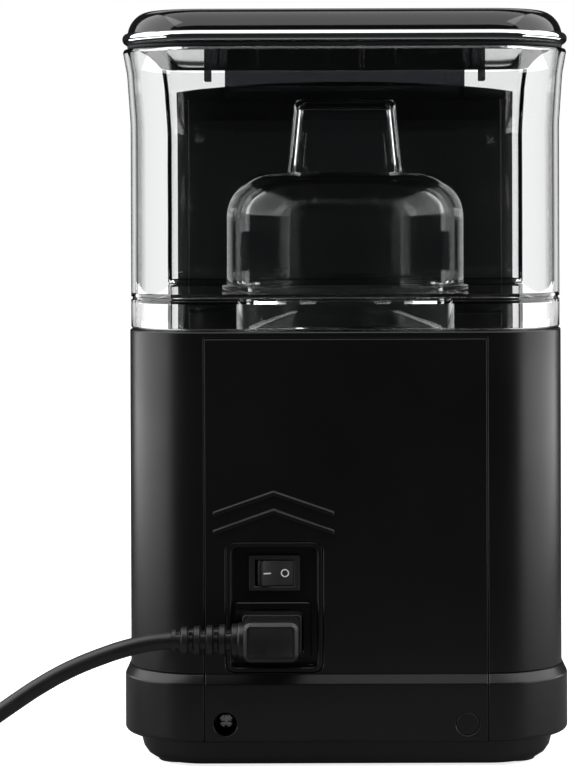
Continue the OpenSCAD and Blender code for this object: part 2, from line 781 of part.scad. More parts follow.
module burr_carrier() {
    color("#2b2d30") translate([0, burr_y, 0]) difference() {
        translate([0, 0, ring_z]) cylinder(r = 37.9, h = 26);
        translate([0, 0, ring_z - 1]) cylinder(r = ring_burr_r + gap, h = 19.05);
        translate([0, 0, ring_z + 17]) cylinder(r = 25, h = 20);
        translate([0, 0, ring_z + 20]) cylinder(r1 = 25, r2 = 33.2, h = 6.1);
    }
}

module adjuster_ring() {
    color("#37393c") translate([0, burr_y, 0]) {
        difference() {
            union() {
                tube_z(45, 38.2, adjust_z, adjust_z + 12.7);
                box_between([-4, -strip_r, arm_z], [4, -41, arm_z + 5]);
                rotate(-90 - 30.5) translate([0, 0, 149.5]) rotate_extrude(angle = 61, $fn = 120)
                    translate([strip_r - 1.6, 0]) square([1.6, 16]);
                box_between([-3, fascia_y - burr_y + 1.5, arm_z], [3, -strip_r + 1.8, arm_z + 5]);
            }
            for (a = [-60:30:240]) rotate(a) translate([45.6, 0, 140]) cylinder(r = 1.4, h = 40);
        }
    }
}

module adjuster_knob() {
    color("#8c8e90") difference() {
        upright(-reach_y, fascia_y + 5) translate([0, (slot_bottom + slot_top) / 2]) rounded(12, 11, 2);
        box_between([-3 - gap, fascia_y + 1.4, arm_z - gap], [3 + gap, fascia_y + 6, arm_z + 5 + gap]);
        for (x = [-3.4, 0, 3.4]) translate([x, -reach_y, 0]) cylinder(r = 0.6, h = 200);
    }
}

// ---- hopper ----

hopper_outer = [[0, hopper_bottom], [0, floor_z - 0.9], [-0.6, floor_z - 0.7], [-0.6, floor_z + 0.3],
    [0, floor_z + 0.5], [0, rim_top - 31], [0.25, rim_top - 23], [0.8, rim_top - 16],
    [1.5, rim_top - 10.5], [2.4, rim_top - 5.5], [flare, rim_top - 1.2], [flare - 0.3, rim_top - 0.2],
    [flare - 0.9, rim_top]];
hopper_profile = concat(hopper_outer, [for (i = [len(hopper_outer) - 1:-1:0])
    if (i != 2 && i != 3 && i != 11) hopper_outer[i] - [i == 12 ? hopper_wall - 0.9 : hopper_wall, 0]]);

module hopper() {
    color([0.92, 0.94, 0.95, 0.35]) difference() {
        union() {
            edge_sweep(hopper_w / 2, hopper_front, hopper_rear, front_r, rear_r) polygon(hopper_profile);
            translate([0, 0, floor_z - 2]) linear_extrude(2)
                plan(hopper_w / 2 - 1, hopper_front + 1, hopper_rear - 1, front_r - 1, rear_r - 1);
            translate([0, burr_y, 0]) {
                translate([0, 0, hopper_bottom]) cylinder(r = neck_r, h = floor_z - hopper_bottom);
                translate([0, 0, 167]) cylinder(r = spigot_r, h = 14);
            }
        }
        translate([0, burr_y, 0]) {
            translate([0, 0, hopper_bottom + 2.2]) cylinder(r = neck_r - 2.4, h = 40);
            translate([0, 0, 160]) cylinder(r = spigot_r - 2.2, h = hopper_bottom - 160);
            for (a = [30, 150, 270]) rotate(a) translate([0, 0, 170]) rotate_extrude(angle = 60)
                translate([11, 0]) square([22, 20]);
        }
    }
}

module hopper_seal() {
    color("#8e2f26") translate([0, burr_y, 0]) tube_z(spigot_r + 1.2, spigot_r + 0.02, 170, 172);
}

module bean_gate() {
    color("#2a2a2c") translate([0, burr_y, hopper_bottom + 2.5]) {
        difference() {
            cylinder(r = neck_r - 2.9, h = guard_base - hopper_bottom - 2.55);
            translate([0, 0, 1.8]) cylinder(r = neck_r - 5, h = 20);
            for (a = [30, 150, 270]) rotate(a) translate([0, 0, -1]) rotate_extrude(angle = 60)
                translate([11, 0]) square([22, 5]);
        }
    }
}

guard_base = floor_z + 0.4;
guard_top = floor_z + guard_h;
shoulder_r = 20;

// Half section of the dome, thick by t, with its foot ring.
module guard_section() {
    difference() {
        union() {
            translate([0, guard_base]) square([guard_r, guard_h - shoulder_r]);
            translate([0, guard_base]) square([guard_r - shoulder_r, guard_h]);
            translate([guard_r - shoulder_r, guard_top - shoulder_r + 0.4]) intersection() {
                circle(shoulder_r);
                square(shoulder_r);
            }
        }
        translate([0, guard_base - 1]) square([guard_r - 2.4, guard_h - shoulder_r + 1]);
        translate([0, guard_base - 1]) square([guard_r - shoulder_r, guard_h - 1.4]);
        translate([guard_r - shoulder_r, guard_top - shoulder_r + 0.4]) circle(shoulder_r - 2.4);
    }
    translate([neck_r - 5, guard_base]) square([guard_r + 2 - neck_r + 5, 2.4]);
}

module bean_guard() {
    grip_low = 25.5;
    grip_high = 22.3;
    color([0.9, 0.92, 0.94, 0.35]) translate([0, burr_y, 0]) difference() {
        union() {
            rotate_extrude($fn = 96) guard_section();
            upright(-8, 8) polygon([[-grip_low, guard_top - 1], [grip_low, guard_top - 1],
                [grip_high, guard_top + grip_h], [-grip_high, guard_top + grip_h]]);
        }
        upright(-5.8, 5.8) polygon([[2.3 - grip_low, guard_top - 8], [grip_low - 2.3, guard_top - 8],
            [grip_high - 2.3, guard_top + grip_h - 2.4], [2.3 - grip_high, guard_top + grip_h - 2.4]]);
        for (a = [-140, -90, -40]) rotate(a) box_between([guard_r - 8, -18, guard_base + 7.4],
            [guard_r + 5, 18, guard_base + 25.4]);
    }
}

// ---- lid ----

dome_z = lid_z + 6.6;
dome_outer = [for (a = [0:15:90]) [-2.2 - 10 * (1 - cos(a)), dome_z + dome_h * sin(a)]];
dome_inner = [for (a = [90:-15:0]) [-2.2 - 10 + 7.6 * cos(a), dome_z + (dome_h - 2.4) * sin(a)]];

module lid_top() {
    color("#0d0d0e") {
        edge_sweep(lid_half, fascia_y - skirt_out - 0.2, reach_y, 18, rear_r + 3)
            polygon(concat(dome_outer, dome_inner));
        translate([0, 0, dome_z + dome_h - 2.4]) linear_extrude(2.4)
            plan(lid_half - 12.2, fascia_y - skirt_out + 12, reach_y - 12.2, 5.8, 21.8);
    }
}

module lid_trim() {
    color("#d4d6d8") edge_sweep(lid_half, fascia_y - skirt_out - 0.2, reach_y, 18, rear_r + 3)
        polygon([[-6, lid_z + 1.7], [-2.2, lid_z + 1.7], [-1, lid_z + 2.1], [-0.2, lid_z + 3],
            [0, lid_z + 4.1], [-0.2, lid_z + 5.2], [-1, lid_z + 6.1], [-2.2, lid_z + 6.55],
            [-6, lid_z + 6.55]]);
}

module lid_seal() {
    color("#242426") edge_sweep(lid_half - 1.6, fascia_y - skirt_out + 1.4, reach_y - 1.6, 16.4, rear_r + 1.4)
        translate([-8.5, lid_z]) square([8, 1.65]);
}

module lid_liner() {
    color([0.2, 0.2, 0.22, 0.7]) {
        difference() {
            translate([0, 0, lid_z + 1.7]) linear_extrude(2)
                plan(lid_half - 6.1, fascia_y - skirt_out + 5.9, reach_y - 6.1, 11.9, rear_r - 3.1);
            translate([0, 0, lid_z + 1]) linear_extrude(4) plan(84, -93, 100, 10, 24);
        }
        translate([0, 0, lid_z + 1.7]) linear_extrude(1.6) plan(83.9, -92.9, 99.9, 10, 24);
        for (y = [-90, 100]) {
            box_between([-55, y - 1, lid_z - 9], [55, y + 1, lid_z + 2]);
            for (x = [-51:14.6:52], side = [-1, 1]) box_between([x - 0.8, y + side * 1 - 0.9, lid_z - 8],
                [x + 0.8, y + side * 1 + 0.9, lid_z + 2]);
            for (x = [-56.3, 56.3]) box_between([x - 1.3, y - 5, lid_z - 14], [x + 1.3, y + 5, lid_z + 2]);
        }
    }
}

// ---- wiring and lead ----

module wiring() {
    color("#8a3b2e") {
        swept_tube(through([[24.3, 80.4, 78.6], [20, 75, 76], [14, 66, 50], [12, 52, 30], [-4, 38, 24],
            [-14, 46, 30]], 2), 1.2, 8);
        swept_tube(through([[34.3, 80.4, 78.6], [40, 66, 86], [47, 30, 90], [54, -20, 94],
            [54, -58, 106], [48, -78, 116], [42, -87, 120]], 2), 1.2, 8);
        swept_tube(through([[30.1, 76.2, 57.2], [38, 70, 46], [50, 50, 44], [60, 10, 60],
            [60, -40, 84], [57, -66, 103], [50, -80, 111], [38, -87, 114.4]], 2), 1.2, 8);
    }
}

module cord_connector() {
    color("#161616") {
        difference() {
            union() {
                translate([inlet_x + 0.8, 0, socket_z]) {
                    upright(93, 121) socket_outline(23.9, 16.4, 4.2);
                    upright(panel_y + 3.2, 138.4) rounded(22, 15.8, 2.6);
                    upright(137, 140) rounded(18.6, 12.4, 2.2);
                }
                translate([inlet_x + 8, plug_axis_y, plug_axis_z]) rotate([0, 90, 0])
                    cylinder(r = 7.2, h = 8.6);
                translate([inlet_x + 14, plug_axis_y, plug_axis_z]) rotate([0, 90, 0])
                    cylinder(r1 = 5.4, r2 = 4.6, h = relief_end - inlet_x - 14);
                for (i = [0:4]) translate([46.6 + 4.75 * i, plug_axis_y, plug_axis_z]) rotate([0, 90, 0])
                    cylinder(r1 = 6.5 - 0.2 * i, r2 = 6.3 - 0.2 * i, h = 2.6);
            }
            for (x = [-7, 0, 7]) translate([inlet_x + 0.8 + x, 0, socket_z + (x == 0 ? 2 : -2)])
                upright(90, 106) square([2.4, 4.4], center = true);
        }
    }
}

module power_cord() {
    color("#1a1a1a") {
        swept_tube(through(cord_points, 2), cord_d / 2, 10);
        swept_tube(through(tail_points, 2), cord_d / 2, 10);
    }
}

module cord_coil() {
    color("#1a1a1a") translate([coil_x, coil_y, 0]) rotate_extrude($fn = 72)
        translate([coil_r, coil_z]) rounded(coil_section[0], coil_section[1], 3.5);
}

module coil_tie() {
    color("#2e2e30") translate([coil_x + coil_r, coil_y, coil_z]) rotate([90, 0, 0]) difference() {
        translate([0, 0.35, -2.5]) linear_extrude(5) rounded(coil_section[0] + 2, coil_section[1] + 0.9, 4);
        translate([0, 0, -4]) linear_extrude(8) rounded(coil_section[0] + 0.1, coil_section[1] - 0.2, 3.5);
    }
}

module mains_plug() {
    color("#191919") translate(plug_at) rotate([0, 0, plug_turn]) rotate([0, 90, 0]) {
        cylinder(r1 = 5, r2 = 7, h = 20);
        translate([0, 0, 18]) cylinder(r1 = 9, r2 = 15, h = 14);
        translate([0, 0, 31]) cylinder(r = 18.8, h = 17);
        for (s = [-1, 1]) translate([0, s * 9.5, 47]) cylinder(r = 2.4, h = 19);
    }
}

base_pan();
rubber_feet();
case_screws();
lower_skirt();
upper_housing();
rear_cover();
screw_cap();
inlet_panel();
inlet_socket();
inlet_pins();
switch_body();
switch_rocker();
front_fascia();
fascia_back();
display_lens();
display_board();
start_button();
button_ring();
dose_dial();
dial_encoder();
control_board();
container_bay();
grounds_container();
container_handle();
container_lid();
chute();
support_pillars();
gearbox_base();
gearbox_cover();
motor_can();
motor_magnets();
motor_rotor();
motor_pinion();
idler_gear();
idler_pin();
output_gear();
burr_shaft();
shaft_bearings();
grinding_chamber();
sweeper();
lower_burr();
burr_nut();
upper_burr();
burr_carrier();
adjuster_ring();
adjuster_knob();
hopper();
hopper_seal();
bean_guard();
bean_gate();
lid_top();
lid_trim();
lid_seal();
lid_liner();
wiring();
cord_connector();
power_cord();
cord_coil();
coil_tie();
mains_plug();
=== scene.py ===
# %% [markdown]
# # A burr coffee grinder
# The object is a tall kitchen machine of black moulded plastic with a clear bean hopper on top.
# Its construction, joints and sizes come packed as a fixed frame, so every piece made here is placed
# from the frame's own measures. Lengths in this script are written in millimetres, as on a drawing,
# and turned to metres where a mesh is made.

# %% Load the frame
import json
import bmesh
import bpy
import numpy as np
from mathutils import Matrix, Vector


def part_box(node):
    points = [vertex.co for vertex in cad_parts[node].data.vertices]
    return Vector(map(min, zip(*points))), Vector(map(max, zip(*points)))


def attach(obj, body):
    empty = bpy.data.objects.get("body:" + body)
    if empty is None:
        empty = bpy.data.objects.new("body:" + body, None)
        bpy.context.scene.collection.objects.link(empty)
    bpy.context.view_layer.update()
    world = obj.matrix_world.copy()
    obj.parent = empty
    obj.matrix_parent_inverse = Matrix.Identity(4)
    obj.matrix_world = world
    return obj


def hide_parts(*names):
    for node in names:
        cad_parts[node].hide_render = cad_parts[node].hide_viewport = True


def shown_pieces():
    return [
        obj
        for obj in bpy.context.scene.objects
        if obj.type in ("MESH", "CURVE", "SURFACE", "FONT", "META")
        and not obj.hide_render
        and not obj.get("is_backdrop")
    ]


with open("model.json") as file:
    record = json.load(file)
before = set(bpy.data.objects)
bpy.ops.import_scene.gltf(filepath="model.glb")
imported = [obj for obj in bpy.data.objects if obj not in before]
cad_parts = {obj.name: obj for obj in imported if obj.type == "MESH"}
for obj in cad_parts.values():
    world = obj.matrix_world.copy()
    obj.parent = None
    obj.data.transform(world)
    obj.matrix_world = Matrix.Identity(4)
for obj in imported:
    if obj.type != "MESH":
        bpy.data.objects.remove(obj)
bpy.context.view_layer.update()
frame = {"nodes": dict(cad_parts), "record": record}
MM = 0.001
bodies = frame["record"]["behaviour"]["bodies"]
body_of = {node: body for body, nodes in bodies.items() for node in nodes}


def span(node):
    """The lowest and highest corner of a node, in millimetres."""
    low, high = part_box(node)
    return np.array(low) / MM, np.array(high) / MM


def put(name, data):
    """A new object in the scene for a mesh, curve, lamp or camera."""
    item = bpy.data.objects.new(name, data)
    bpy.context.scene.collection.objects.link(item)
    return item


# %% [markdown]
# ## The camera
# A product photographer stands well back and uses a long lens, so that upright edges stay upright.
# The camera is level, at half the hopper's height, and the frame is shifted instead of the camera
# being tilted. The lens is worked out from a focal length in pixels.

# %% Camera
FRAME_SIZE = (575, 771)
FOCAL_PIXELS = 2678
SENSOR = 36.0
HORIZON_ROW = 190
CENTRE_COLUMN = 345
EYE = (0.0, 1.203, 0.235)
ROLL = 0.18                 # degrees that the frame leans, clockwise

camera = put("camera", bpy.data.cameras.new("camera"))
bpy.context.scene.camera = camera
camera.location = EYE
camera.rotation_euler = np.radians((90, ROLL, 180))
camera.data.sensor_width = SENSOR
camera.data.lens = FOCAL_PIXELS * SENSOR / FRAME_SIZE[1]
camera.data.shift_x = (FRAME_SIZE[0] / 2 - CENTRE_COLUMN) / FRAME_SIZE[1]
camera.data.shift_y = (HORIZON_ROW - FRAME_SIZE[1] / 2) / FRAME_SIZE[1]
bpy.context.scene.view_settings.view_transform = "Standard"
print(f"lens {camera.data.lens:.0f} mm, shift {camera.data.shift_x:.3f}, {camera.data.shift_y:.3f}")

# %% [markdown]
# ## Colour and node helpers
# Colours are written as the hex values that a designer would pick on a screen. Blender computes with
# linear light, so one function undoes the screen's curve. One more function adds a shader node.

# %% Helpers for materials


def linear(code, alpha=1.0):
    """Turns an sRGB hex colour to linear light: above 0.04045 it is ((v + 0.055) / 1.055) ** 2.4."""
    value = np.array([int(code[i:i + 2], 16) for i in (1, 3, 5)]) / 255
    curve = np.where(value > 0.04045, ((value + 0.055) / 1.055) ** 2.4, value / 12.92)
    return (*curve.tolist(), alpha)


def add(tree, kind, sockets=None, **settings):
    """Adds a shader node. settings are its properties; sockets holds values, or outputs to link from."""
    node = tree.nodes.new("ShaderNode" + kind)
    for name, value in settings.items():
        setattr(node, name, value)
    for name, value in (sockets or {}).items():
        if isinstance(value, bpy.types.NodeSocket):
            tree.links.new(value, node.inputs[name])
        else:
            node.inputs[name].default_value = value
    return node


def blank(name, colour, rough, **sockets):
    """Starts a material with that colour and roughness. Gives it, its node tree and its shader."""
    material = bpy.data.materials.new(name)
    material.use_nodes = True
    tree = material.node_tree
    skin = tree.nodes["Principled BSDF"]
    skin.inputs["Base Color"].default_value = linear(colour)
    skin.inputs["Roughness"].default_value = rough
    for socket, value in sockets.items():
        skin.inputs[socket.replace("_", " ")].default_value = value
    return material, tree, skin


# %% [markdown]
# ## Studio
# The background is a white sweep that runs off beyond the frame, so floor and backdrop are both
# white to the camera. Black plastic would show a white room as a grey haze, so the rest of the room is
# dark, and only lamps show in it. Ray depths tell the cases apart: the camera sees white, and so does
# light that went through clear plastic and still heads for the backdrop. Gloss sees the dark room, and
# scattered light sees an even grey.
# Tall diffusers at the sides draw the bright lines down the corners. They are in two parts with a slit
# at the height of the hopper, which keeps the clear dome free of their reflections. A wide softbox
# overhead lights the lid.

# %% World
WHITE = linear("#ffffff")
ROOM = linear("#2a2b2c")
FILL = linear("#9fa0a2")
BACKDROP_EDGE = (0.72, 0.88)    # cosines of the angles from its middle where the backdrop ends and is full

world = bpy.data.worlds.new("studio")
bpy.context.scene.world = world
world.use_nodes = True
sky = world.node_tree
sky.nodes.clear()
ray = add(sky, "LightPath").outputs
heading = add(sky, "TexCoord").outputs["Generated"]
away = add(sky, "VectorMath", {0: heading, 1: (0, -1, 0)}, operation="DOT_PRODUCT")
backdrop = add(sky, "MapRange", {"Value": away.outputs["Value"], "From Min": BACKDROP_EDGE[0],
                                 "From Max": BACKDROP_EDGE[1]}, interpolation_type="SMOOTHSTEP")
matt = add(sky, "Math", {0: ray["Glossy Depth"], 1: 0.5}, operation="LESS_THAN")
clear = add(sky, "Math", {0: ray["Transmission Depth"], 1: 0.5}, operation="GREATER_THAN")
passed = add(sky, "Math", {0: matt.outputs[0], 1: clear.outputs[0]}, operation="MAXIMUM")
lit = add(sky, "Math", {0: passed.outputs[0], 1: backdrop.outputs[0]}, operation="MULTIPLY")
shown = add(sky, "Mix", {0: lit.outputs[0], 6: ROOM, 7: WHITE}, data_type="RGBA")
scattered = add(sky, "Math", {0: ray["Diffuse Depth"], 1: 0.5}, operation="GREATER_THAN")
indirect = add(sky, "Mix", {0: scattered.outputs[0], 6: shown.outputs[2], 7: FILL}, data_type="RGBA")
colour = add(sky, "Mix", {0: ray["Is Camera Ray"], 6: indirect.outputs[2], 7: WHITE}, data_type="RGBA")
glow = add(sky, "Background", {"Color": colour.outputs[2], "Strength": 1.0})
add(sky, "OutputWorld", {"Surface": glow.outputs[0]})
print("world nodes:", len(sky.nodes))

# %% Floor
FLOOR_HALF = 4.0
FLOOR_LIFT = 0.8            # how much of the white the camera sees whatever the light
PAPER, NEAR_PAPER = "#e6e6e6", "#747474"    # as the camera sees it, and as bounced light sees it
PAPER_FADE = (0.2, 0.42)    # metres from the middle over which bounced light loses the paper

floor_mesh = bpy.data.meshes.new("floor")
corners = [(-FLOOR_HALF, -FLOOR_HALF, 0), (FLOOR_HALF, -FLOOR_HALF, 0), (FLOOR_HALF, FLOOR_HALF, 0),
           (-FLOOR_HALF, FLOOR_HALF, 0)]
floor_mesh.from_pydata(corners, [], [(0, 1, 2, 3)])
floor = put("floor", floor_mesh)
floor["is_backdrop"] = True

paper, tree, skin = blank("white paper sweep", PAPER, 0.9, Specular_IOR_Level=0.0)
ray = add(tree, "LightPath").outputs
bounced = add(tree, "Math", {0: ray["Diffuse Depth"], 1: ray["Glossy Depth"]}, operation="ADD")
unbroken = add(tree, "Math", {0: bounced.outputs[0], 1: 0.5}, operation="LESS_THAN")
lift = add(tree, "Math", {0: unbroken.outputs[0], 1: FLOOR_LIFT}, operation="MULTIPLY")
place = add(tree, "TexCoord").outputs["Object"]
reach = add(tree, "VectorMath", {0: place}, operation="LENGTH")
beyond = add(tree, "MapRange", {"Value": reach.outputs["Value"], "From Min": PAPER_FADE[0],
                                "From Max": PAPER_FADE[1]}, interpolation_type="SMOOTHSTEP")
shade = add(tree, "Mix", {0: beyond.outputs[0], 6: linear(NEAR_PAPER), 7: ROOM}, data_type="RGBA")
tone = add(tree, "Mix", {0: unbroken.outputs[0], 6: shade.outputs[2], 7: linear(PAPER)}, data_type="RGBA")
tree.links.new(tone.outputs[2], skin.inputs["Base Color"])
skin.inputs["Emission Color"].default_value = WHITE
tree.links.new(lift.outputs[0], skin.inputs["Emission Strength"])
floor_mesh.materials.append(paper)

# %% Lights


def softbox(name, place, aim, width, height, glow):
    """A flat lamp facing aim. Its face glows at that radiance: its watts are glow * pi * its area."""
    lamp = bpy.data.lights.new(name, "AREA")
    lamp.shape = "RECTANGLE"
    lamp.size = width
    lamp.size_y = height
    lamp.energy = glow * np.pi * width * height
    light = put(name, lamp)
    light.location = place
    light.rotation_euler = (Vector(aim) - light.location).to_track_quat("-Z", "Y").to_euler()


for side, hand in ((-1, "right"), (1, "left")):
    softbox(f"low_diffuser_{hand}", (side * 0.8, 0.06, 0.085), (0, 0.06, 0.085), 1.25, 0.16, 3.6)
    softbox(f"tall_diffuser_{hand}", (side * 0.8, 0.06, 0.76), (0, 0.02, 0.3), 1.25, 0.96, 2.5)
softbox("top_softbox", (0, 0.15, 0.975), (0, -0.2, 0.25), 1.1, 1.1, 1.8)
softbox("front_fill", (0, -1.3, 1.25), (0, 0, 0.2), 1.2, 0.5, 0.9)

# %% [markdown]
# ## Surfaces from arrays
# Moulded shells are mostly one profile carried round a rounded rectangle, and knobs are a profile
# spun about an axis. Both are grids of points: one parameter runs along the profile and the other
# round the plan. The points are worked out as whole arrays and the quads between them by index, which
# is quicker and cleaner than modelling by hand, and the normals come out smooth.

# %% Mesh helpers
CLOSED = {"wrap": (True, False), "caps": "columns"}     # an open profile carried round, its ends capped


def quads(rows, columns, wrap_rows, wrap_columns):
    """Corner numbers of the quads of a grid whose points are numbered row by row."""
    r, c = np.meshgrid(np.arange(rows - (not wrap_rows)), np.arange(columns - (not wrap_columns)),
                       indexing="ij")
    r_next, c_next = (r + 1) % rows, (c + 1) % columns
    corner = (r * columns + c, r_next * columns + c, r_next * columns + c_next, r * columns + c_next)
    return np.stack(corner, -1).reshape(-1, 4).tolist()


def finish_mesh(mesh, crease=35):
    """Merges doubles, turns faces outwards and shades smooth, with hard edges above crease degrees."""
    work = bmesh.new()
    work.from_mesh(mesh)
    bmesh.ops.remove_doubles(work, verts=work.verts, dist=2e-6)
    bmesh.ops.dissolve_degenerate(work, edges=work.edges, dist=1e-6)
    bmesh.ops.recalc_face_normals(work, faces=work.faces)
    work.to_mesh(mesh)
    work.free()
    mesh.shade_smooth()
    mesh.set_sharp_from_angle(angle=np.radians(crease))


def surface(name, grid, wrap=(True, True), caps=None, crease=35):
    """A mesh object over a grid of points in millimetres. caps closes the open ends of "rows" or
    "columns" with one face each."""
    rows, columns = grid.shape[:2]
    faces = quads(rows, columns, *wrap)
    index = np.arange(rows * columns).reshape(rows, columns)
    if caps == "columns":
        faces += [index[:, 0].tolist(), index[::-1, -1].tolist()]
    if caps == "rows":
        faces += [index[0].tolist(), index[-1, ::-1].tolist()]
    mesh = bpy.data.meshes.new(name)
    mesh.from_pydata((grid.reshape(-1, 3) * MM).tolist(), [], faces)
    finish_mesh(mesh, crease)
    return put(name, mesh)


def fillet(points, steps=5, closed=True):
    """Rounds an outline's corners. A point is (x, y) or (x, y, radius), and a corner of radius r becomes
    an arc of steps chords about the centre that lies r / sin(half the corner's angle) from it."""
    spots = [np.array(p[:2], float) for p in points]
    count = len(spots)
    out = []
    for i, spot in enumerate(spots):
        radius = points[i][2] if len(points[i]) > 2 else 0
        if not radius or (not closed and i in (0, count - 1)):
            out.append(spot)
            continue
        back, ahead = spots[i - 1] - spot, spots[(i + 1) % count] - spot
        back, ahead = back / np.linalg.norm(back), ahead / np.linalg.norm(ahead)
        half = np.arccos(np.clip(back @ ahead, -1, 1)) / 2
        middle = (back + ahead) / np.linalg.norm(back + ahead)
        centre = spot + middle * radius / np.sin(half)
        start = spot + back * radius / np.tan(half) - centre
        stop = spot + ahead * radius / np.tan(half) - centre
        sweep_angle = np.pi - 2 * half
        t = np.linspace(0, 1, steps + 1)[:, None]
        out.extend(centre + (start * np.sin((1 - t) * sweep_angle) + stop * np.sin(t * sweep_angle))
                   / np.sin(sweep_angle))
    return np.array(out)


def plan(half, front, rear, front_radius, rear_radius, steps=18):
    """Rounded rectangle seen from above: its points, and the outward direction at each."""
    turn = np.linspace(0, np.pi / 2, steps + 1)
    rear_y, front_y = rear - rear_radius, front + front_radius
    corner = ((half - rear_radius, rear_y, rear_radius), (rear_radius - half, rear_y, rear_radius),
              (front_radius - half, front_y, front_radius), (half - front_radius, front_y, front_radius))
    angle = (turn + np.arange(4)[:, None] * np.pi / 2).ravel()
    out = np.stack([np.cos(angle), np.sin(angle)], 1)
    centre = np.repeat(np.array(corner), steps + 1, axis=0)
    return centre[:, :2] + centre[:, 2:] * out, out


def at_height(outline, z):
    """An outline of (x, y) points set at a height: rows of (x, y, z)."""
    return np.column_stack([outline, np.full(len(outline), z)])


def read(items, what):
    """What each face or vertex of a mesh has, such as its normal, center or co, as rows of three."""
    values = np.empty(len(items) * 3)
    items.foreach_get(what, values)
    return values.reshape(-1, 3)


def facing(grid, origin, axis):
    """Turns a grid drawn about +Z so that its z runs along an axis, and moves it to origin."""
    order, signs = {"z": ([0, 1, 2], (1, 1, 1)), "-z": ([0, 1, 2], (1, -1, -1)), "x": ([2, 1, 0], (1, 1, -1)),
                    "y": ([0, 2, 1], (-1, 1, 1)), "-y": ([0, 2, 1], (1, -1, 1))}[axis]
    return grid[..., order] * signs + np.asarray(origin)


def carry(name, profile, path, origin=(0, 0, 0), axis="z", **options):
    """Carries a profile of (outward offset, height) round a plan: point + direction * offset."""
    point, out = path
    profile = np.asarray(profile)
    flat = point[:, None] + out[:, None] * profile[None, :, :1]
    height = np.broadcast_to(profile[None, :, 1:], flat.shape[:2] + (1,))
    return surface(name, facing(np.concatenate([flat, height], -1), origin, axis), **options)


def spin(name, profile, origin, axis="z", steps=72, **options):
    """Spins a profile of (radius, height) about an axis: (r cos a, r sin a, height)."""
    angle = np.linspace(0, 2 * np.pi, steps, endpoint=False)[:, None]
    profile = np.asarray(profile)
    r, h = profile[None, :, 0], profile[None, :, 1]
    grid = np.stack([r * np.cos(angle), r * np.sin(angle), np.broadcast_to(h, (steps, len(profile)))], -1)
    return surface(name, facing(grid, origin, axis), **options)


def block(name, half_x, half_y, radius, low, high, edge, **options):
    """A rounded plate: a rounded rectangle swept through its thickness, its rims rounded by edge."""
    within = -radius * 0.9
    rim = fillet([(within, low), (0, low, edge), (0, high, edge), (within, high)], 4, closed=False)
    return carry(name, rim, plan(half_x, -half_y, half_y, radius, radius, 8), **CLOSED, **options)


def cut(piece, *tools, operation="DIFFERENCE", crease=35):
    """Joins tools to a closed piece, or takes them out of it, with an exact Boolean, then drops them."""
    for tool in tools:
        step = piece.modifiers.new(tool.name, "BOOLEAN")
        step.object, step.operation, step.solver = tool, operation, "EXACT"
    bpy.context.view_layer.update()
    mesh = bpy.data.meshes.new_from_object(piece.evaluated_get(bpy.context.evaluated_depsgraph_get()))
    piece.modifiers.clear()
    piece.data = mesh
    finish_mesh(mesh, crease)
    for tool in tools:
        bpy.data.objects.remove(tool)
    return piece


# %% [markdown]
# ## Dressing a frame piece
# Where the frame's own solid already has the right shape, it only lacks what a mould gives it: small
# radii on every edge. Its triangles are joined to larger faces in a copy of the mesh and a bevel rounds
# the edges, so that each one catches a thin line of light. Normals weighted by the faces' areas keep
# the flat faces flat.

# %% Pieces that stand for frame nodes


def wear(piece, finish, slot, *nodes):
    """Gives a piece its material and the body of the nodes that it stands for; slot is not used."""
    piece.data.materials.clear()
    piece.data.materials.append(finish)
    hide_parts(*nodes)
    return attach(piece, body_of[nodes[0]])


def dress(node, finish, slot, radius=0.4, segments=2, crease=30):
    """A copy of a node's mesh with rounded edges, standing for the node."""
    mesh = frame["nodes"][node].data.copy()
    mesh.name = f"{node}_moulding"
    work = bmesh.new()
    work.from_mesh(mesh)
    bmesh.ops.remove_doubles(work, verts=work.verts, dist=1e-5)
    bmesh.ops.join_triangles(work, faces=work.faces, angle_face_threshold=0.01, angle_shape_threshold=3.1)
    work.to_mesh(mesh)
    work.free()
    mesh.shade_smooth()
    mesh.set_sharp_from_angle(angle=np.radians(crease))
    piece = put(mesh.name, mesh)
    bevel = piece.modifiers.new("moulded radii", "BEVEL")
    bevel.width = radius * MM
    bevel.segments = segments
    bevel.limit_method = "ANGLE"
    bevel.angle_limit = np.radians(crease)
    bevel.use_clamp_overlap = bevel.loop_slide = False
    weighted = piece.modifiers.new("flat faces stay flat", "WEIGHTED_NORMAL")
    weighted.mode = "FACE_AREA"
    weighted.weight = 80
    weighted.keep_sharp = True
    return wear(piece, finish, slot, node)

# %% [markdown]
# ## The mains lead
# A grinder of this size has a short lead, a little over a metre, that unplugs at both ends. It is one
# round sheath of soft PVC. It leaves the angled connector sideways, bends down under its own weight,
# meets the table and runs to a coil that lies beside the machine, tied for storage. A Bezier curve
# with automatic handles goes through listed points where the lead lies free, and through points
# of a loop where it is wound: the turns lie two abreast and two high, and move from one place to the
# next by a smooth step, each after the turn that it crosses has moved away.

# %% Route of the lead
CORD_D = 7.0
LEAD_ROUTE = [(70, 129, 54.6), (78, 129, 53.8), (88, 129, 51.6), (99, 129, 48), (111, 128.6, 43),
              (123, 128, 36.4), (135, 127.2, 28.4), (147, 126, 20), (159, 124.8, 12.6), (171, 123.4, 7.2),
              (182, 122.3, 4.6), (193, 121.7, 3.9), (203, 121.6, 3.9)]
TAIL_ROUTE = [(250.6, 78, 11.1), (250.9, 67, 10), (250.6, 56, 7.6), (249.4, 45, 5.2),
              (247.2, 34.5, 4.2), (244.2, 24.5, 5.4), (240.8, 15, 8.8), (237.2, 6, 13.2), (233.6, -2, 16.8),
              (230.2, -9.5, 18.6), (227.4, -16, 19)]
COIL_CENTRE = (207, 78)
COIL_RADIUS = 40
PITCH = CORD_D + 0.2        # from one turn to the next
LOW_TURN = 3.9
TURNS = 3.25
POINTS_PER_TURN = 20


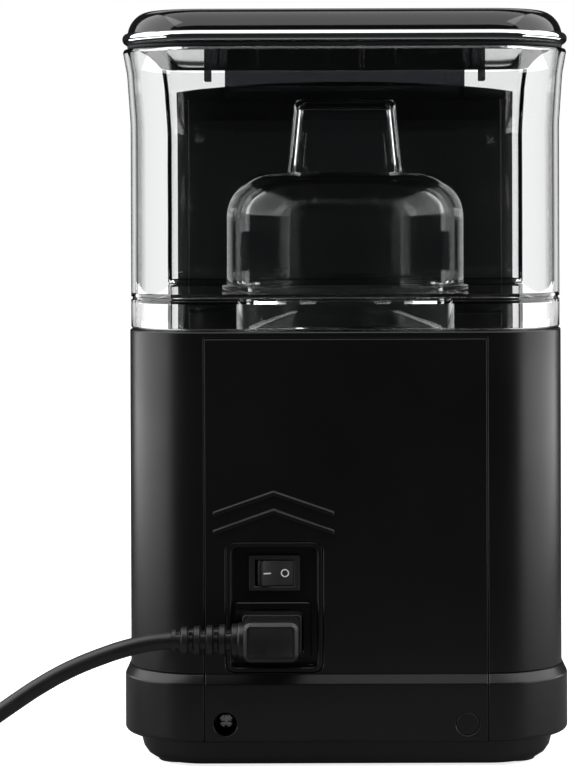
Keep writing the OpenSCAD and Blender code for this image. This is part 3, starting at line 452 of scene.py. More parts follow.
def step(t, start, stop):
    """Smooth step from 0 to 1: 3 u^2 - 2 u^3, where u goes from 0 at start to 1 at stop."""
    u = np.clip((t - start) / (stop - start), 0, 1)
    return u * u * (3 - 2 * u)


turn = np.linspace(0, TURNS, round(TURNS * POINTS_PER_TURN) + 1)
inward = step(turn, 0.84, 1.0) - step(turn, 2.45, 2.65)
upward = step(turn, 1.66, 1.88)
radius = COIL_RADIUS + PITCH / 2 - PITCH * inward
angle = np.pi / 2 - 2 * np.pi * turn
coil_route = np.stack([COIL_CENTRE[0] + radius * np.cos(angle), COIL_CENTRE[1] + radius * np.sin(angle),
                       LOW_TURN + PITCH * upward], -1)
route = np.concatenate([LEAD_ROUTE, coil_route, TAIL_ROUTE[1:]]) * MM

curve = bpy.data.curves.new("mains_lead", "CURVE")
curve.dimensions = "3D"
curve.bevel_depth = CORD_D / 2 * MM
curve.bevel_resolution = 5
curve.resolution_u = 8
spline = curve.splines.new("BEZIER")
spline.bezier_points.add(len(route) - 1)
spline.bezier_points.foreach_set("co", route.ravel())
for point in spline.bezier_points:
    point.handle_left_type = point.handle_right_type = "AUTO"
lead = put("mains_lead", curve)
bpy.context.view_layer.update()

# %% [markdown]
# The plug is a round earthed two-pin one, moulded on to the lead. It is a profile spun about its own
# axis, with a waist to pull it by and ribs that keep wet fingers from slipping. It lies on its side,
# so its axis is level and points on along the lead.

# %% Plug and coil tie
PLUG_AT = np.array((227.4, -16, 19))
PLUG_TURN = np.radians(-113)
PIN_SPACING = 19.0


def along_lead(grid):
    """Turns a grid drawn about +Z to lie along the plug's heading: z becomes the way ahead."""
    ahead = np.array((np.cos(PLUG_TURN), np.sin(PLUG_TURN), 0))
    side = np.array((-np.sin(PLUG_TURN), np.cos(PLUG_TURN), 0))
    return PLUG_AT + grid[..., :1] * side + grid[..., 1:2] * (0, 0, 1) + grid[..., 2:] * ahead


def spun(profile, steps=64, sway=0.0, lobes=0):
    """Grid of a profile of (radius, height) spun about Z, its radius swelling by sway in lobes waves."""
    a = np.linspace(0, 2 * np.pi, steps, endpoint=False)[:, None]
    profile = np.asarray(profile)
    r = profile[None, :, 0] * (1 + sway * np.cos(lobes * a))
    return np.stack([r * np.cos(a), r * np.sin(a), np.broadcast_to(profile[None, :, 1], r.shape)], -1)


plug_sleeve = [(3.4, 0.1), (4.9, 0.1, 0.4), (5.0, 4, 0.5), (6.0, 5.4, 0.8), (5.4, 7, 0.8), (6.2, 8.6, 0.8),
               (5.7, 10.4, 0.8), (6.5, 12.2, 0.8), (6.1, 14, 0.8), (6.9, 17.5, 1), (9.2, 20, 2)]
plug_head = [(14.6, 31.6, 4), (18.4, 33, 2), (18.7, 36, 1), (18.7, 46.6, 1), (17.9, 47.9, 0.4),
             (15.2, 47.9, 0.3), (14.9, 44.4, 0.3), (0.2, 44.4)]
plug_profile = fillet(plug_sleeve + plug_head, 3, closed=False)
plug_body = surface("plug_body", along_lead(spun(plug_profile, 96)), **CLOSED)
pin_profile = fillet([(0.3, 43), (2.35, 43), (2.35, 63.4, 2.2), (0.4, 65.9)], 5, closed=False)
pins = []
for offset in (-PIN_SPACING / 2, PIN_SPACING / 2):
    pin = spun(pin_profile, 24) + (0, offset, 0)
    pins.append(surface("plug_pin", along_lead(pin[..., [1, 0, 2]]), **CLOSED))


def merged(name, pieces):
    """Joins several objects' meshes into one object of that name."""
    work = bmesh.new()
    for piece in pieces:
        work.from_mesh(piece.data)
        bpy.data.objects.remove(piece)
    mesh = bpy.data.meshes.new(name)
    work.to_mesh(mesh)
    work.free()
    finish_mesh(mesh)
    return put(name, mesh)


plug_pins = merged("plug_pins", pins)

tie_low, tie_high = span("coil_tie")
tie_mid = (tie_low + tie_high) / 2
TIE_WIDE, TIE_THICK = 5.0, 0.7
TIE_CORNER = 3.6
strap = fillet([(0, -TIE_WIDE / 2, 0.2), (TIE_THICK, -TIE_WIDE / 2, 0.3), (TIE_THICK, TIE_WIDE / 2, 0.3),
                (0, TIE_WIDE / 2, 0.2)], 3)
tie_half = (tie_high - tie_low)[0] / 2 - TIE_THICK - 0.25
strap_path = plan(tie_half, tie_low[2] + 0.05 + TIE_THICK, tie_high[2] - TIE_THICK, TIE_CORNER, TIE_CORNER, 8)
coil_tie = carry("coil_tie_strap", strap, strap_path, (tie_mid[0], tie_mid[1], 0), "-y")
print("plug and tie made")

# %% [markdown]
# ## Finishes
# Most of the machine is ABS. Where it is matt, the mould was spark-eroded, which leaves a fine even
# grain that scatters the light: a soft, slightly broken highlight. Where it is glossy, the mould was
# polished, and the plastic shows long, very faint waves from the way that it shrank.

# %% Moulded plastics


def grain(tree, skin, size, depth, detail=3.0, rough=None, drift=0.0):
    """Adds a fine bump of that size and depth in millimetres, and lets the roughness drift slowly."""
    place = add(tree, "TexCoord").outputs["Object"]
    pits = add(tree, "TexNoise", {"Vector": place, "Scale": 1 / (size * MM), "Detail": detail})
    bump = add(tree, "Bump", {"Height": pits.outputs["Fac"], "Distance": depth * MM})
    tree.links.new(bump.outputs["Normal"], skin.inputs["Normal"])
    if rough:
        cloud = add(tree, "TexNoise", {"Vector": place, "Scale": 1 / (45 * MM), "Detail": 4.0})
        level = add(tree, "MapRange", {"Value": cloud.outputs["Fac"], "From Min": 0.3, "From Max": 0.7,
                                       "To Min": rough - drift, "To Max": rough + drift})
        tree.links.new(level.outputs[0], skin.inputs["Roughness"])
    return place


def mottle(tree, skin, share, first, second):
    """Colours the skin between two hex colours by a share."""
    tone = add(tree, "Mix", {0: share, 6: linear(first), 7: linear(second)}, data_type="RGBA")
    tree.links.new(tone.outputs[2], skin.inputs["Base Color"])


def spark_eroded_abs():
    """Black ABS from a spark-eroded mould. The real pits are 0.1 mm; they are drawn at 0.5 mm to show."""
    material, tree, skin = blank("spark-eroded black ABS", "#08080a", 0.32, IOR=1.53, Specular_IOR_Level=0.45)
    place = grain(tree, skin, 0.5, 0.012, 4.0, 0.32, 0.03)
    speck = add(tree, "TexNoise", {"Vector": place, "Scale": 1 / (1.2 * MM), "Detail": 2.0})
    mottle(tree, skin, speck.outputs["Fac"], "#060607", "#0a0a0b")
    return material


def polished_abs():
    """Black ABS from a polished mould: a mirror-like skin with faint waves 9 mm long."""
    material, tree, skin = blank("polished black ABS", "#0a0a0b", 0.07, IOR=1.53)
    grain(tree, skin, 9, 0.02, 1.0, 0.08, 0.03)
    return material


def satin_lacquer():
    """Grey lacquer over ABS: fine aluminium flakes under a satin clear coat."""
    material, tree, skin = blank("satin grey lacquer", "#8b8d90", 0.36, Metallic=0.55, Coat_Weight=0.3,
                                 Coat_Roughness=0.3)
    place = grain(tree, skin, 0.4, 0.006)
    flake = add(tree, "TexNoise", {"Vector": place, "Scale": 1 / (0.6 * MM), "Detail": 3.0})
    mottle(tree, skin, flake.outputs["Fac"], "#7d7f82", "#9a9c9f")
    return material


# %% [markdown]
# The hopper, its dome and its gate are clear copolyester, a tough food-safe plastic that looks like
# glass but bends light more. Its wall thickness is in the mesh, so its edges go dark or bright by
# refraction. Two walls also let a share of the light straight on. The container under the spout is the
# same plastic with a smoke dye in it.

# %% Clear plastics


def clear_copolyester(name, tint, waviness, rough, shine=0.5, thin=None, box=None):
    """Clear plastic with an IOR of 1.57 and long, shallow sink waves. In a box, a share of the light may go
    straight on: where the thin dome is seen face-on, which hardly bends it, and where a side wall is seen
    edge-on, which would mirror the dark front. That second one is a look, not what real plastic does.
    thin gives two facing values and the share at each."""
    material, tree, skin = blank(name, tint, rough, IOR=1.57, Transmission_Weight=1.0,
                                 Specular_IOR_Level=shine)
    grain(tree, skin, 22, waviness, 1.0)
    if thin:
        facing_away = add(tree, "LayerWeight", {"Blend": 0.5}).outputs["Facing"]
        limits = dict(zip(("From Min", "From Max", "To Min", "To Max"), thin))
        share = add(tree, "MapRange", {"Value": facing_away, **limits}).outputs[0]
        low, high = np.array(box)
        place = add(tree, "TexCoord").outputs["Object"]
        mirrored = add(tree, "VectorMath", {0: place, 1: (1, 0, 0)}, operation="MULTIPLY")
        width = add(tree, "VectorMath", {0: mirrored.outputs[0]}, operation="LENGTH")
        part = add(tree, "SeparateXYZ", {0: place}).outputs
        for value, least, most in zip((width.outputs["Value"], part[1], part[2]), low, high):
            inside = add(tree, "Math", {0: value, 1: float((least + most) / 2),
                                        2: float((most - least) / 2)}, operation="COMPARE")
            share = add(tree, "Math", {0: share, 1: inside.outputs[0]}, operation="MULTIPLY").outputs[0]
        through = add(tree, "BsdfTransparent")
        blend = add(tree, "MixShader", {0: share, 1: skin.outputs[0], 2: through.outputs[0]})
        tree.links.new(blend.outputs[0], tree.nodes["Material Output"].inputs["Surface"])
    return material


# %% [markdown]
# The trim under the lid is chromium on ABS: the plating copies the polished mould, so it is a mirror
# with a blue-grey cast. Machined steel instead keeps the fine rings that the tool left.

# %% Metals


def bright_chrome():
    """Chromium plated over polished plastic."""
    material, tree, skin = blank("bright chrome plate", "#d9dadc", 0.045, Metallic=1.0)
    grain(tree, skin, 14, 0.012, 1.0, 0.05, 0.02)
    return material


def ground_steel(name, colour, rough, lay):
    """Steel with grinding lines: a noise stretched along one axis, so that it reads as fine scratches."""
    material, tree, skin = blank(name, colour, rough, Metallic=1.0)
    place = add(tree, "TexCoord").outputs["Object"]
    squeeze = add(tree, "Mapping", {"Vector": place, "Scale": lay})
    lines = add(tree, "TexNoise", {"Vector": squeeze.outputs[0], "Scale": 1 / (0.5 * MM),
                                   "Detail": 4.0})
    bump = add(tree, "Bump", {"Height": lines.outputs["Fac"], "Distance": 0.004 * MM})
    tree.links.new(bump.outputs["Normal"], skin.inputs["Normal"])
    level = add(tree, "MapRange", {"Value": lines.outputs["Fac"], "To Min": rough - 0.08,
                                   "To Max": rough + 0.1})
    tree.links.new(level.outputs[0], skin.inputs["Roughness"])
    return material


def cast_metal(name, colour, rough, size):
    """Cast or sintered metal: an uneven skin with small pits."""
    material, tree, skin = blank(name, colour, rough, Metallic=1.0)
    grain(tree, skin, size, 0.02, 5.0, rough, 0.08)
    return material


# %% [markdown]
# Soft parts: the lead's sheath and its mouldings are plasticised PVC, with a low waxy shine. The feet
# and seals are rubber and silicone, which are duller and pick up dust.

# %% Rubbers and PVC


def soft_plastic(name, colour, rough, size, depth, dust):
    """PVC, rubber or silicone: a pebbled skin, paler in patches where dust clings."""
    material, tree, skin = blank(name, colour, rough, IOR=1.52)
    place = grain(tree, skin, size, depth, 3.0, rough, 0.06)
    cloud = add(tree, "TexNoise", {"Vector": place, "Scale": 1 / (7 * MM), "Detail": 6.0})
    share = add(tree, "MapRange", {"Value": cloud.outputs["Fac"], "From Min": 0.5, "From Max": 0.8,
                                   "To Min": 0.0, "To Max": dust})
    mottle(tree, skin, share.outputs[0], colour, "#7a7773")
    return material


def circuit_board():
    """Glass-fibre board under green solder mask, with the paler lines of copper tracks beneath it."""
    material, tree, skin = blank("green solder mask", "#1d4a30", 0.35, Coat_Weight=0.4)
    place = add(tree, "TexCoord").outputs["Object"]
    tracks = add(tree, "TexBrick", {"Vector": add(tree, "Mapping", {
        "Vector": place, "Rotation": (np.pi / 2, 0, 0)}).outputs[0], "Scale": 1 / (9 * MM),
        "Color1": linear("#1d4a30"), "Color2": linear("#215537"), "Mortar": linear("#3a7a50"),
        "Mortar Size": 0.04})
    tree.links.new(tracks.outputs["Color"], skin.inputs["Base Color"])
    return material


# The boxes in which light may go straight on: low and high corner in metres, x counted from the middle
# to either side. One holds the hopper's side walls, the other the dome below its shoulder.
SIDE_WALLS = ((0.08, -0.1, 0.17), (0.1, 0.08, 0.32))
DOME_WALL = ((0, -0.1, 0.17), (0.1, 0.1, 0.2395))
CASE = spark_eroded_abs()
GLOSS = polished_abs()
LACQUER = satin_lacquer()
CLEAR = clear_copolyester("clear copolyester", "#fbfcfc", 0.03, 0.0, 0.2, (0.72, 0.85, 0, 1), SIDE_WALLS)
CLEAR_DOME = clear_copolyester("clear dome copolyester", "#fbfcfc", 0.02, 0.0, 0.3, (0.45, 0.65, 0.93, 0),
                               DOME_WALL)
DARK_CLEAR = clear_copolyester("dark clear copolyester", "#2c2d30", 0.02, 0.05)
SMOKE = clear_copolyester("smoked copolyester", "#55565a", 0.02, 0.02)
CHROME = bright_chrome()
SHEATH = soft_plastic("PVC sheath", "#0e0e0f", 0.4, 0.9, 0.012, 0.04)
MOULDED_PVC = soft_plastic("moulded PVC", "#0c0c0d", 0.42, 0.6, 0.015, 0.03)
SATIN_BLACK = soft_plastic("satin black nylon", "#1c1c1d", 0.45, 0.6, 0.01, 0.03)
GRAINED_BLACK = soft_plastic("grained black nylon", "#2b2b2c", 0.5, 0.35, 0.03, 0.06)
RUBBER = soft_plastic("nitrile rubber", "#1c1c1d", 0.75, 1.0, 0.03, 0.12)
SILICONE = soft_plastic("red silicone rubber", "#8e2f26", 0.55, 1.2, 0.01, 0.05)
DARK_SEAL = soft_plastic("black silicone rubber", "#1a1a1b", 0.6, 1.2, 0.01, 0.05)
NYLON = soft_plastic("glass-filled nylon", "#26282b", 0.55, 0.4, 0.02, 0.05)
ACETAL = soft_plastic("white acetal", "#ddd8c9", 0.38, 1.5, 0.006, 0.03)
STEEL = ground_steel("ground bearing steel", "#b9bcc0", 0.28, (1, 1, 9))
BURR_STEEL = ground_steel("hardened burr steel", "#8f9296", 0.34, (3, 3, 9))
ZINC = cast_metal("zinc plate", "#b2b4b6", 0.3, 1.5)
# Matt black for the lid's underside, darker and nearly unreflecting: painted shade under the lid.
MATT_SHADE_BLACK = blank("matt black ABS with painted shade", "#070707", 0.9, Specular_IOR_Level=0.1)[0]
BLACK_ZINC = cast_metal("black zinc plate", "#1b1c1e", 0.35, 1.5)
BRASS = cast_metal("machined brass", "#c9a755", 0.25, 3.0)
COPPER = ground_steel("enamelled copper winding", "#a8592f", 0.3, (1, 1, 6))
FERRITE = cast_metal("sintered ferrite", "#4a4b4e", 0.7, 0.8)
BOARD = circuit_board()
WIRE = soft_plastic("PVC wire insulation", "#7d2f26", 0.45, 2.0, 0.005, 0.04)
print(len(bpy.data.materials), "materials")

# %% Dress the lead
for piece, finish, slot in ((lead, SHEATH, "cord"), (plug_body, MOULDED_PVC, "cord"),
                            (plug_pins, ZINC, "zinc"), (coil_tie, DARK_SEAL, "rubber")):
    piece.data.materials.append(finish)
    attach(piece, "machine")
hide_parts("power_cord", "cord_coil")
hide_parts("mains_plug")
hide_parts("mains_plug")
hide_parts("coil_tie")

# %% [markdown]
# ## The hopper
# The hopper is one clear moulding: an upright wall that flares at the rim, a flat floor, a round neck
# that stands on the housing, and a short spigot below it that plugs into the grinder. The wall is a
# closed profile, outside and inside, carried round the plan. So is the floor, with a small bevel up to
# the wall. An exact Boolean joins them to one skin, because light bends wrongly where two clear solids
# overlap.

# %% Hopper
BURR_Y = 7
BURR_AXIS = (0, BURR_Y, 0)
hopper_low, hopper_high = span("hopper")
FLARE = 3.1
HOPPER_HALF = hopper_high[0] - FLARE
HOPPER_REAR = hopper_high[1] - FLARE
HOPPER_FRONT = hopper_low[1] + FLARE
HOPPER_WALL = 2.8
REAR_R, FRONT_R = 31, 16
RIM = hopper_high[2]
HOPPER_BOTTOM = span("upper_housing")[1][2] + 0.7
FLOOR = HOPPER_BOTTOM + 12.5
NECK_R, SPIGOT_R = 48.9, 37

outside = [(0, HOPPER_BOTTOM, 0.6), (0, FLOOR - 0.9), (-0.6, FLOOR - 0.7), (-0.6, FLOOR + 0.3),
           (0, FLOOR + 0.5), (0, RIM - 31, 60), (FLARE * 0.45, RIM - 10.5, 25), (FLARE, RIM - 1.2, 0.5),
           (FLARE - 0.5, RIM, 0.6)]
inside = [(FLARE - HOPPER_WALL + 0.3, RIM, 0.6), (FLARE - HOPPER_WALL - 0.2, RIM - 1.2, 0.5),
          (FLARE * 0.45 - HOPPER_WALL, RIM - 10.5, 25), (-HOPPER_WALL, RIM - 31, 60),
          (-HOPPER_WALL, HOPPER_BOTTOM, 0.3)]
hopper_path = plan(HOPPER_HALF, HOPPER_FRONT, HOPPER_REAR, FRONT_R, REAR_R, 24)
hopper = carry("hopper_shell", fillet(outside + inside, 6), hopper_path)
print(f"hopper floor at {FLOOR:.1f} mm, rim at {RIM:.1f} mm")


# %% Hopper floor, neck and spigot
SHEET = 2.0
SPIGOT_END = hopper_low[2]


def drum(name, low, high, outer, inner=0.2, steps=96):
    """A plain ring about the burr axis, from low to high. With the least bore it acts as a solid drum."""
    section = [(inner, low), (outer, low), (outer, high), (inner, high)]
    return spin(name, section, BURR_AXIS, steps=steps)


floor_sheet = carry("hopper_floor", [
    (-HOPPER_WALL + 0.4, FLOOR + 2.4), (-HOPPER_WALL - 2.0, FLOOR), (-15, FLOOR), (-15, FLOOR - SHEET),
    (-HOPPER_WALL + 0.4, FLOOR - SHEET)], hopper_path)
middle = hopper_path[0] + hopper_path[1] * -14
middle_grid = np.stack([at_height(middle, z) for z in (FLOOR - SHEET, FLOOR)], 1)
middle_sheet = surface("hopper_middle", middle_grid, **CLOSED)
neck = spin("neck", fillet([(20, HOPPER_BOTTOM), (NECK_R, HOPPER_BOTTOM, 0.8), (NECK_R, FLOOR - 0.6),
                            (20, FLOOR - 0.6)]), BURR_AXIS, steps=128)
spigot = spin("spigot", fillet([(20, SPIGOT_END, 0.1), (SPIGOT_R, SPIGOT_END, 1.2),
                                (SPIGOT_R, HOPPER_BOTTOM + 1), (20, HOPPER_BOTTOM + 1)]), BURR_AXIS, steps=96)
plate = drum("plate", HOPPER_BOTTOM + 0.1, HOPPER_BOTTOM + 2.1, 30, steps=64)
neck_bore = drum("neck_bore", HOPPER_BOTTOM + 2.2, FLOOR + 5, NECK_R - 2.4, steps=128)
spigot_bore = drum("spigot_bore", SPIGOT_END - 7, HOPPER_BOTTOM, SPIGOT_R - 2.2)

# %% Windows in the plate
WINDOW_IN, WINDOW_OUT = 11, 33


def fan_window(start, low, high):
    """A 60 degree slice of a ring: the way through which the beans drop."""
    arc = np.radians(np.linspace(start, start + 60, 13))
    outline = fillet([(r * np.cos(a), r * np.sin(a)) for r, a in
                      [(WINDOW_OUT, a) for a in arc] + [(WINDOW_IN, a) for a in arc[::-1]]])
    grid = np.stack([at_height(outline, z) for z in (low, high)], 1)
    return surface("fan_window", grid + BURR_AXIS, **CLOSED)


cut(floor_sheet, middle_sheet, operation="UNION")
cut(hopper, floor_sheet, neck, spigot, plate, operation="UNION")
windows = [fan_window(start, HOPPER_BOTTOM - 18, HOPPER_BOTTOM + 12) for start in (30, 150, 270)]
cut(hopper, neck_bore, spigot_bore, *windows)
wear(hopper, CLEAR, "clear", "hopper")
print("hopper faces:", len(hopper.data.polygons))

# %% [markdown]
# A dome of the same plastic covers the burrs, so that a hand can't reach them. Its wall is a profile
# spun about the burr axis. The flat grip on top is hollow and opens into the dome, as a moulding of
# even thickness has to be, and three windows near the foot let the beans in.

# %% Bean guard
GUARD_R, GUARD_WALL, SHOULDER = 53, 2.4, 20
guard_low, guard_high = span("bean_guard")
GUARD_BASE = guard_low[2]
GRIP_TOP = guard_high[2]
GRIP_TALL = 33
GUARD_TOP = GRIP_TOP - GRIP_TALL
GRIP_LOW, GRIP_HIGH, GRIP_HALF, GRIP_WALL = 25.5, 22.3, 8, 2.2


def dome_profile(inset, foot):
    """Half section of the dome at an inset from its outside, closed along its axis."""
    r, top = GUARD_R - inset, GUARD_TOP + 0.4 - inset
    return fillet([(0.05, foot), (r, foot), (r, top, SHOULDER - inset), (0.05, top)], 14, closed=False)


def grip(name, inset, low):
    """The hollow grip as a loft: rounded rectangles that narrow towards the top, whose rim is round."""
    rows = []
    top = GRIP_TOP - inset
    rim = [top - 2.4, top - 1.6, top - 0.8, top - 0.2, top]
    heights = np.array([low, GUARD_TOP, *np.linspace(GUARD_TOP, rim[0], 8)[1:], *rim[1:]])
    tuck = np.interp(heights, rim, [0, 0.15, 0.6, 1.4, 2.4])
    for z, t in zip(heights, tuck):
        half = np.interp(z, [GUARD_TOP, GRIP_TOP], [GRIP_LOW, GRIP_HIGH]) - inset - t
        deep = GRIP_HALF - inset - t
        corner = min(2.4, deep * 0.95)
        rows.append(at_height(plan(half, -deep, deep, corner, corner, 6)[0] + (0, BURR_Y), z))
    return surface(name, np.stack(rows, 1), **CLOSED)


guard = spin("bean_dome", dome_profile(0, GUARD_BASE), BURR_AXIS, steps=144, wrap=(True, False))
flange = spin("flange", fillet([(NECK_R - 5, GUARD_BASE), (GUARD_R + 2, GUARD_BASE, 0.5),
                                (GUARD_R + 2, GUARD_BASE + 2.4, 0.9), (NECK_R - 5, GUARD_BASE + 2.4)]),
              BURR_AXIS, steps=144)
hollow = spin("hollow", dome_profile(GUARD_WALL, GUARD_BASE - 4), BURR_AXIS, steps=144,
              wrap=(True, False))
cut(guard, grip("grip", 0, GUARD_TOP - 1.5), operation="UNION")
cut(guard, hollow, grip("grip_hollow", GRIP_WALL, GUARD_TOP - 8))
ring_bore = drum("ring_bore", GUARD_BASE - 5, GUARD_BASE + 9, NECK_R - 5, 0.1)
cut(guard, flange, operation="UNION")
MOUTH_UP = 16.4             # from the guard's foot to the middle of a window
mouths = []
for bearing in np.radians((-140, -90, -40)):
    mouth = block("mouth", 18, 9, 3, -7, 7, 0.01, axis="-y")
    point = read(mouth.data.vertices, "co") + np.array((0, GUARD_R, 0)) * MM
    turned = bearing - np.pi / 2
    x = point[:, 0] * np.cos(turned) - point[:, 1] * np.sin(turned)
    y = point[:, 0] * np.sin(turned) + point[:, 1] * np.cos(turned) + BURR_Y * MM
    point = np.stack([x, y, point[:, 2] + (GUARD_BASE + MOUTH_UP) * MM], -1)
    mouth.data.vertices.foreach_set("co", point.ravel())
    mouths.append(mouth)
cut(guard, *mouths, ring_bore)
wear(guard, CLEAR_DOME, "clear", "bean_guard")
print("guard faces:", len(guard.data.polygons))

# %% [markdown]
# ## The lid
# From the top: a gloss black cap with a rounded shoulder, a chromed band whose section is a shallow
# arc, and a soft black gasket that sits on the hopper's rim. The cap is a profile carried round the
# plan and closed over the middle with a slight crown. Its mould is polished outside only, so its
# underside is matt; it is also darker and nearly unreflecting, which is painted shade under the lid.

# %% Lid
trim_low, trim_high = span("lid_trim")
top_low, top_high = span("lid_top")
seal_low, seal_high = span("lid_seal")
LID_HALF, LID_REAR, LID_FRONT = trim_high[0], trim_high[1], trim_low[1]
LID_REAR_R, LID_FRONT_R = REAR_R + 3, 18
lid_path = plan(LID_HALF, LID_FRONT, LID_REAR, LID_FRONT_R, LID_REAR_R, 28)
CAP_SET, CAP_SHOULDER = 2.2, 10.0
cap_z, cap_h = top_low[2], top_high[2] - top_low[2]

SKIN = 2.4
arc = np.radians(np.linspace(10, 90, 18))
lift = (np.sin(arc) - np.sin(arc[0])) / (1 - np.sin(arc[0]))
tuck = 1 - np.cos(arc) / np.cos(arc[0])
CROWN = 0.3


def cap_skin(offsets, heights, rise):
    """Rows of the cap: the shoulder's profile carried round the plan, then rings that shrink towards the
    middle by a factor k and rise as 1 - k^2, which crowns the top."""
    point, out = lid_path
    middle = np.array((0, (LID_FRONT + LID_REAR) / 2))
    rings = [at_height(point + out * x, z) for x, z in zip(offsets, heights)]
    edge = rings[-1][:, :2]
    for k in (0.97, 0.88, 0.72, 0.5, 0.25, 0.01):
        rings.append(at_height(middle + (edge - middle) * k, heights[-1] + rise * (1 - k * k)))
    return rings


outer_skin = cap_skin(-CAP_SET - CAP_SHOULDER * tuck, cap_z + (cap_h - CROWN) * lift, CROWN)
inner_skin = cap_skin(-CAP_SET - SKIN - (CAP_SHOULDER - SKIN) * tuck,
                      cap_z + (cap_h - CROWN - SKIN) * lift, CROWN)
lid_cap = surface("lid_cap", np.stack(inner_skin[::-1] + outer_skin, 1), **CLOSED)
wear(lid_cap, GLOSS, "gloss_black", "lid_top")
lid_cap.data.materials.append(MATT_SHADE_BLACK)
# Faces that point down take the darker matt black: painted shade under the lid.
facing_down = read(lid_cap.data.polygons, "normal")[:, 2] < -0.1
lid_cap.data.polygons.foreach_set("material_index", facing_down.astype(int))

band = np.radians(np.linspace(-90, 90, 21))
band_mid, band_half = (trim_low[2] + trim_high[2]) / 2, (trim_high[2] - trim_low[2]) / 2
band_outline = np.stack([-CAP_SET + CAP_SET * np.cos(band), band_mid + band_half * np.sin(band)], -1)
band_outline = np.concatenate([band_outline, [(-6, trim_high[2]), (-6, trim_low[2])]])
wear(carry("lid_band", band_outline, lid_path), CHROME, "chrome", "lid_trim")

seal_path = plan(seal_high[0], seal_low[1], seal_high[1], LID_FRONT_R - 2.1, LID_REAR_R - 2.1, 24)
gasket = fillet([(-8, seal_low[2], 0.3), (0, seal_low[2], 0.75), (0, seal_high[2], 0.5),
                 (-8, seal_high[2], 0.3)], 5)
wear(carry("lid_gasket", gasket, seal_path), DARK_SEAL, "rubber", "lid_seal")
dress("lid_liner", DARK_CLEAR, "smoke", 0.25)
print("lid spans", np.round(np.array(lid_cap.bound_box).max(0) / MM, 1))

# %% [markdown]
# ## The casing
# The casing is five mouldings: a pan that carries the feet, a skirt with a chamfered top edge, the tall
# housing, a flat rear cover that closes it, and the front fascia. The fascia's backing, a screw's cap and
# the container's bay are finished with them. They keep the frame's shapes. Each
# gets the small radii that let it leave its mould, and those draw the thin bright lines at the joints.

# %% Casing
CASE_RADII = {"base_pan": 0.5, "lower_skirt": 0.45, "upper_housing": 0.5, "rear_cover": 0.4,
              "front_fascia": 0.6, "fascia_back": 0.4, "screw_cap": 0.35, "container_bay": 0.5}
for node, radius in CASE_RADII.items():
    dress(node, CASE, "housing", radius)
print("casing dressed:", len(CASE_RADII), "pieces")

# %% [markdown]
# The screws are pan heads with a cross recess. A head is a low dome spun about its axis, and the
# recess is cut by two crossed bars, so its walls are real. They are plated black. Round the recess of
# the two on the rear the faces are paler zinc: worn plating, and a painted glint of the cross.

# %% Screws
screw_low, screw_high = span("case_screws")
SCREW_X, SCREW_Z, HEAD_R = 49.3, 18, 4.0
head_y = screw_high[1]


def screw(origin, axis, head_r, head_h, shank):
    """A pan-head screw. Its head's outer face is at height 0 and its shank points down."""
    outline = fillet([(0.05, -shank), (1.3, -shank), (1.75, -shank + 1.5), (1.75, -head_h, head_h * 0.08),
                      (head_r, -head_h, head_h * 0.12), (head_r, -head_h * 0.45, head_h * 0.2),
                      (head_r * 0.75, -0.12, head_h * 0.3), (0.05, 0)], 4, closed=False)
    piece = spin("screw", outline, origin, axis, 40, **CLOSED)
    long, narrow, deep = head_r * 0.58, 0.48, head_h * 0.6
    bars = [block("bar", *half, 0.2, -deep, 1, 0.02, origin=origin, axis=axis)
            for half in ((long, narrow), (narrow, long))]
    return cut(piece, *bars)


screws = [screw((side * SCREW_X, head_y, SCREW_Z), "y", HEAD_R, 2.5, 16) for side in (-1, 1)]
screws += [screw((x, y, screw_low[2]), "-z", 3.4, 1.0, 13) for x in (-70, 70) for y in (-55, 55)]
screw_set = wear(merged("case_screw_set", screws), BLACK_ZINC, "zinc", "case_screws")
screw_set.data.materials.append(ZINC)
middle = read(screw_set.data.polygons, "center") / MM
from_rear_axis = np.hypot(np.abs(middle[:, 0]) - SCREW_X, middle[:, 2] - SCREW_Z)
# Faces round the rear recesses take paler zinc: worn plating, and a painted glint of the cross.
worn_and_glint = (from_rear_axis < HEAD_R * 0.5) & (middle[:, 1] > head_y - 1.6)
screw_set.data.polygons.foreach_set("material_index", worn_and_glint.astype(int))

# %% Feet
foot = fillet([(0.05, 0.5), (6, 0.5, 0.3), (6.3, 0, 0.3), (8.6, 0, 0.4), (9, 1.2, 0.2), (4, 1.2),
               (4, 6, 0.6), (0.05, 6)], 4, closed=False)
feet = [spin("foot", foot, (x, y, span("rubber_feet")[0][2]), steps=48, **CLOSED)
        for x in (-69, 69) for y in (-84, 94)]
wear(merged("foot_pads", feet), RUBBER, "rubber", "rubber_feet")

# %% [markdown]
# ## Switch and inlet
# A moulded plate sits in a deep recess of the rear cover. It carries a rocker switch in its own bezel
# and the mains inlet. The rocker's face is two shallow cylinders that meet over the pivot, so one half
# stands proud. Its marks, a dash for on and a ring for off, are white ink a twentieth of a millimetre
# thick, laid on that face.

# %% Inlet plate, bezel and socket
dress("inlet_panel", CASE, "housing", 0.5)
dress("inlet_socket", GLOSS, "gloss_black", 0.35)
dress("switch_body", SATIN_BLACK, "gloss_black", 0.35)

# %% Rocker
INLET_X, SWITCH_Z = 29.3, 78.6
PIVOT_Y, TILT = 104.5, np.radians(8)
ROCKER_HALF_Z = 5.1
ink, tree, skin = blank("white marking ink", "#e9e9e7", 0.5)
grain(tree, skin, 0.6, 0.004)


def rocker_face(x):
    """Height of the rocker's face above its pivot at x: two wings 4.7 high in the middle and 6.3 at
    the ends, each a shallow arc."""
    wing = np.abs(x) / 7.0
    return 4.7 + 1.6 * wing - 0.35 * np.sin(np.pi * np.clip(wing, 0, 1))


def rocked(local_x, local_y, z):
    """Turns rocker coordinates by its tilt about the pivot and gives points in the object's frame."""
    x = INLET_X + local_x * np.cos(TILT) - local_y * np.sin(TILT)
    y = PIVOT_Y + local_x * np.sin(TILT) + local_y * np.cos(TILT)
    return np.stack(np.broadcast_arrays(x, y, z), -1)


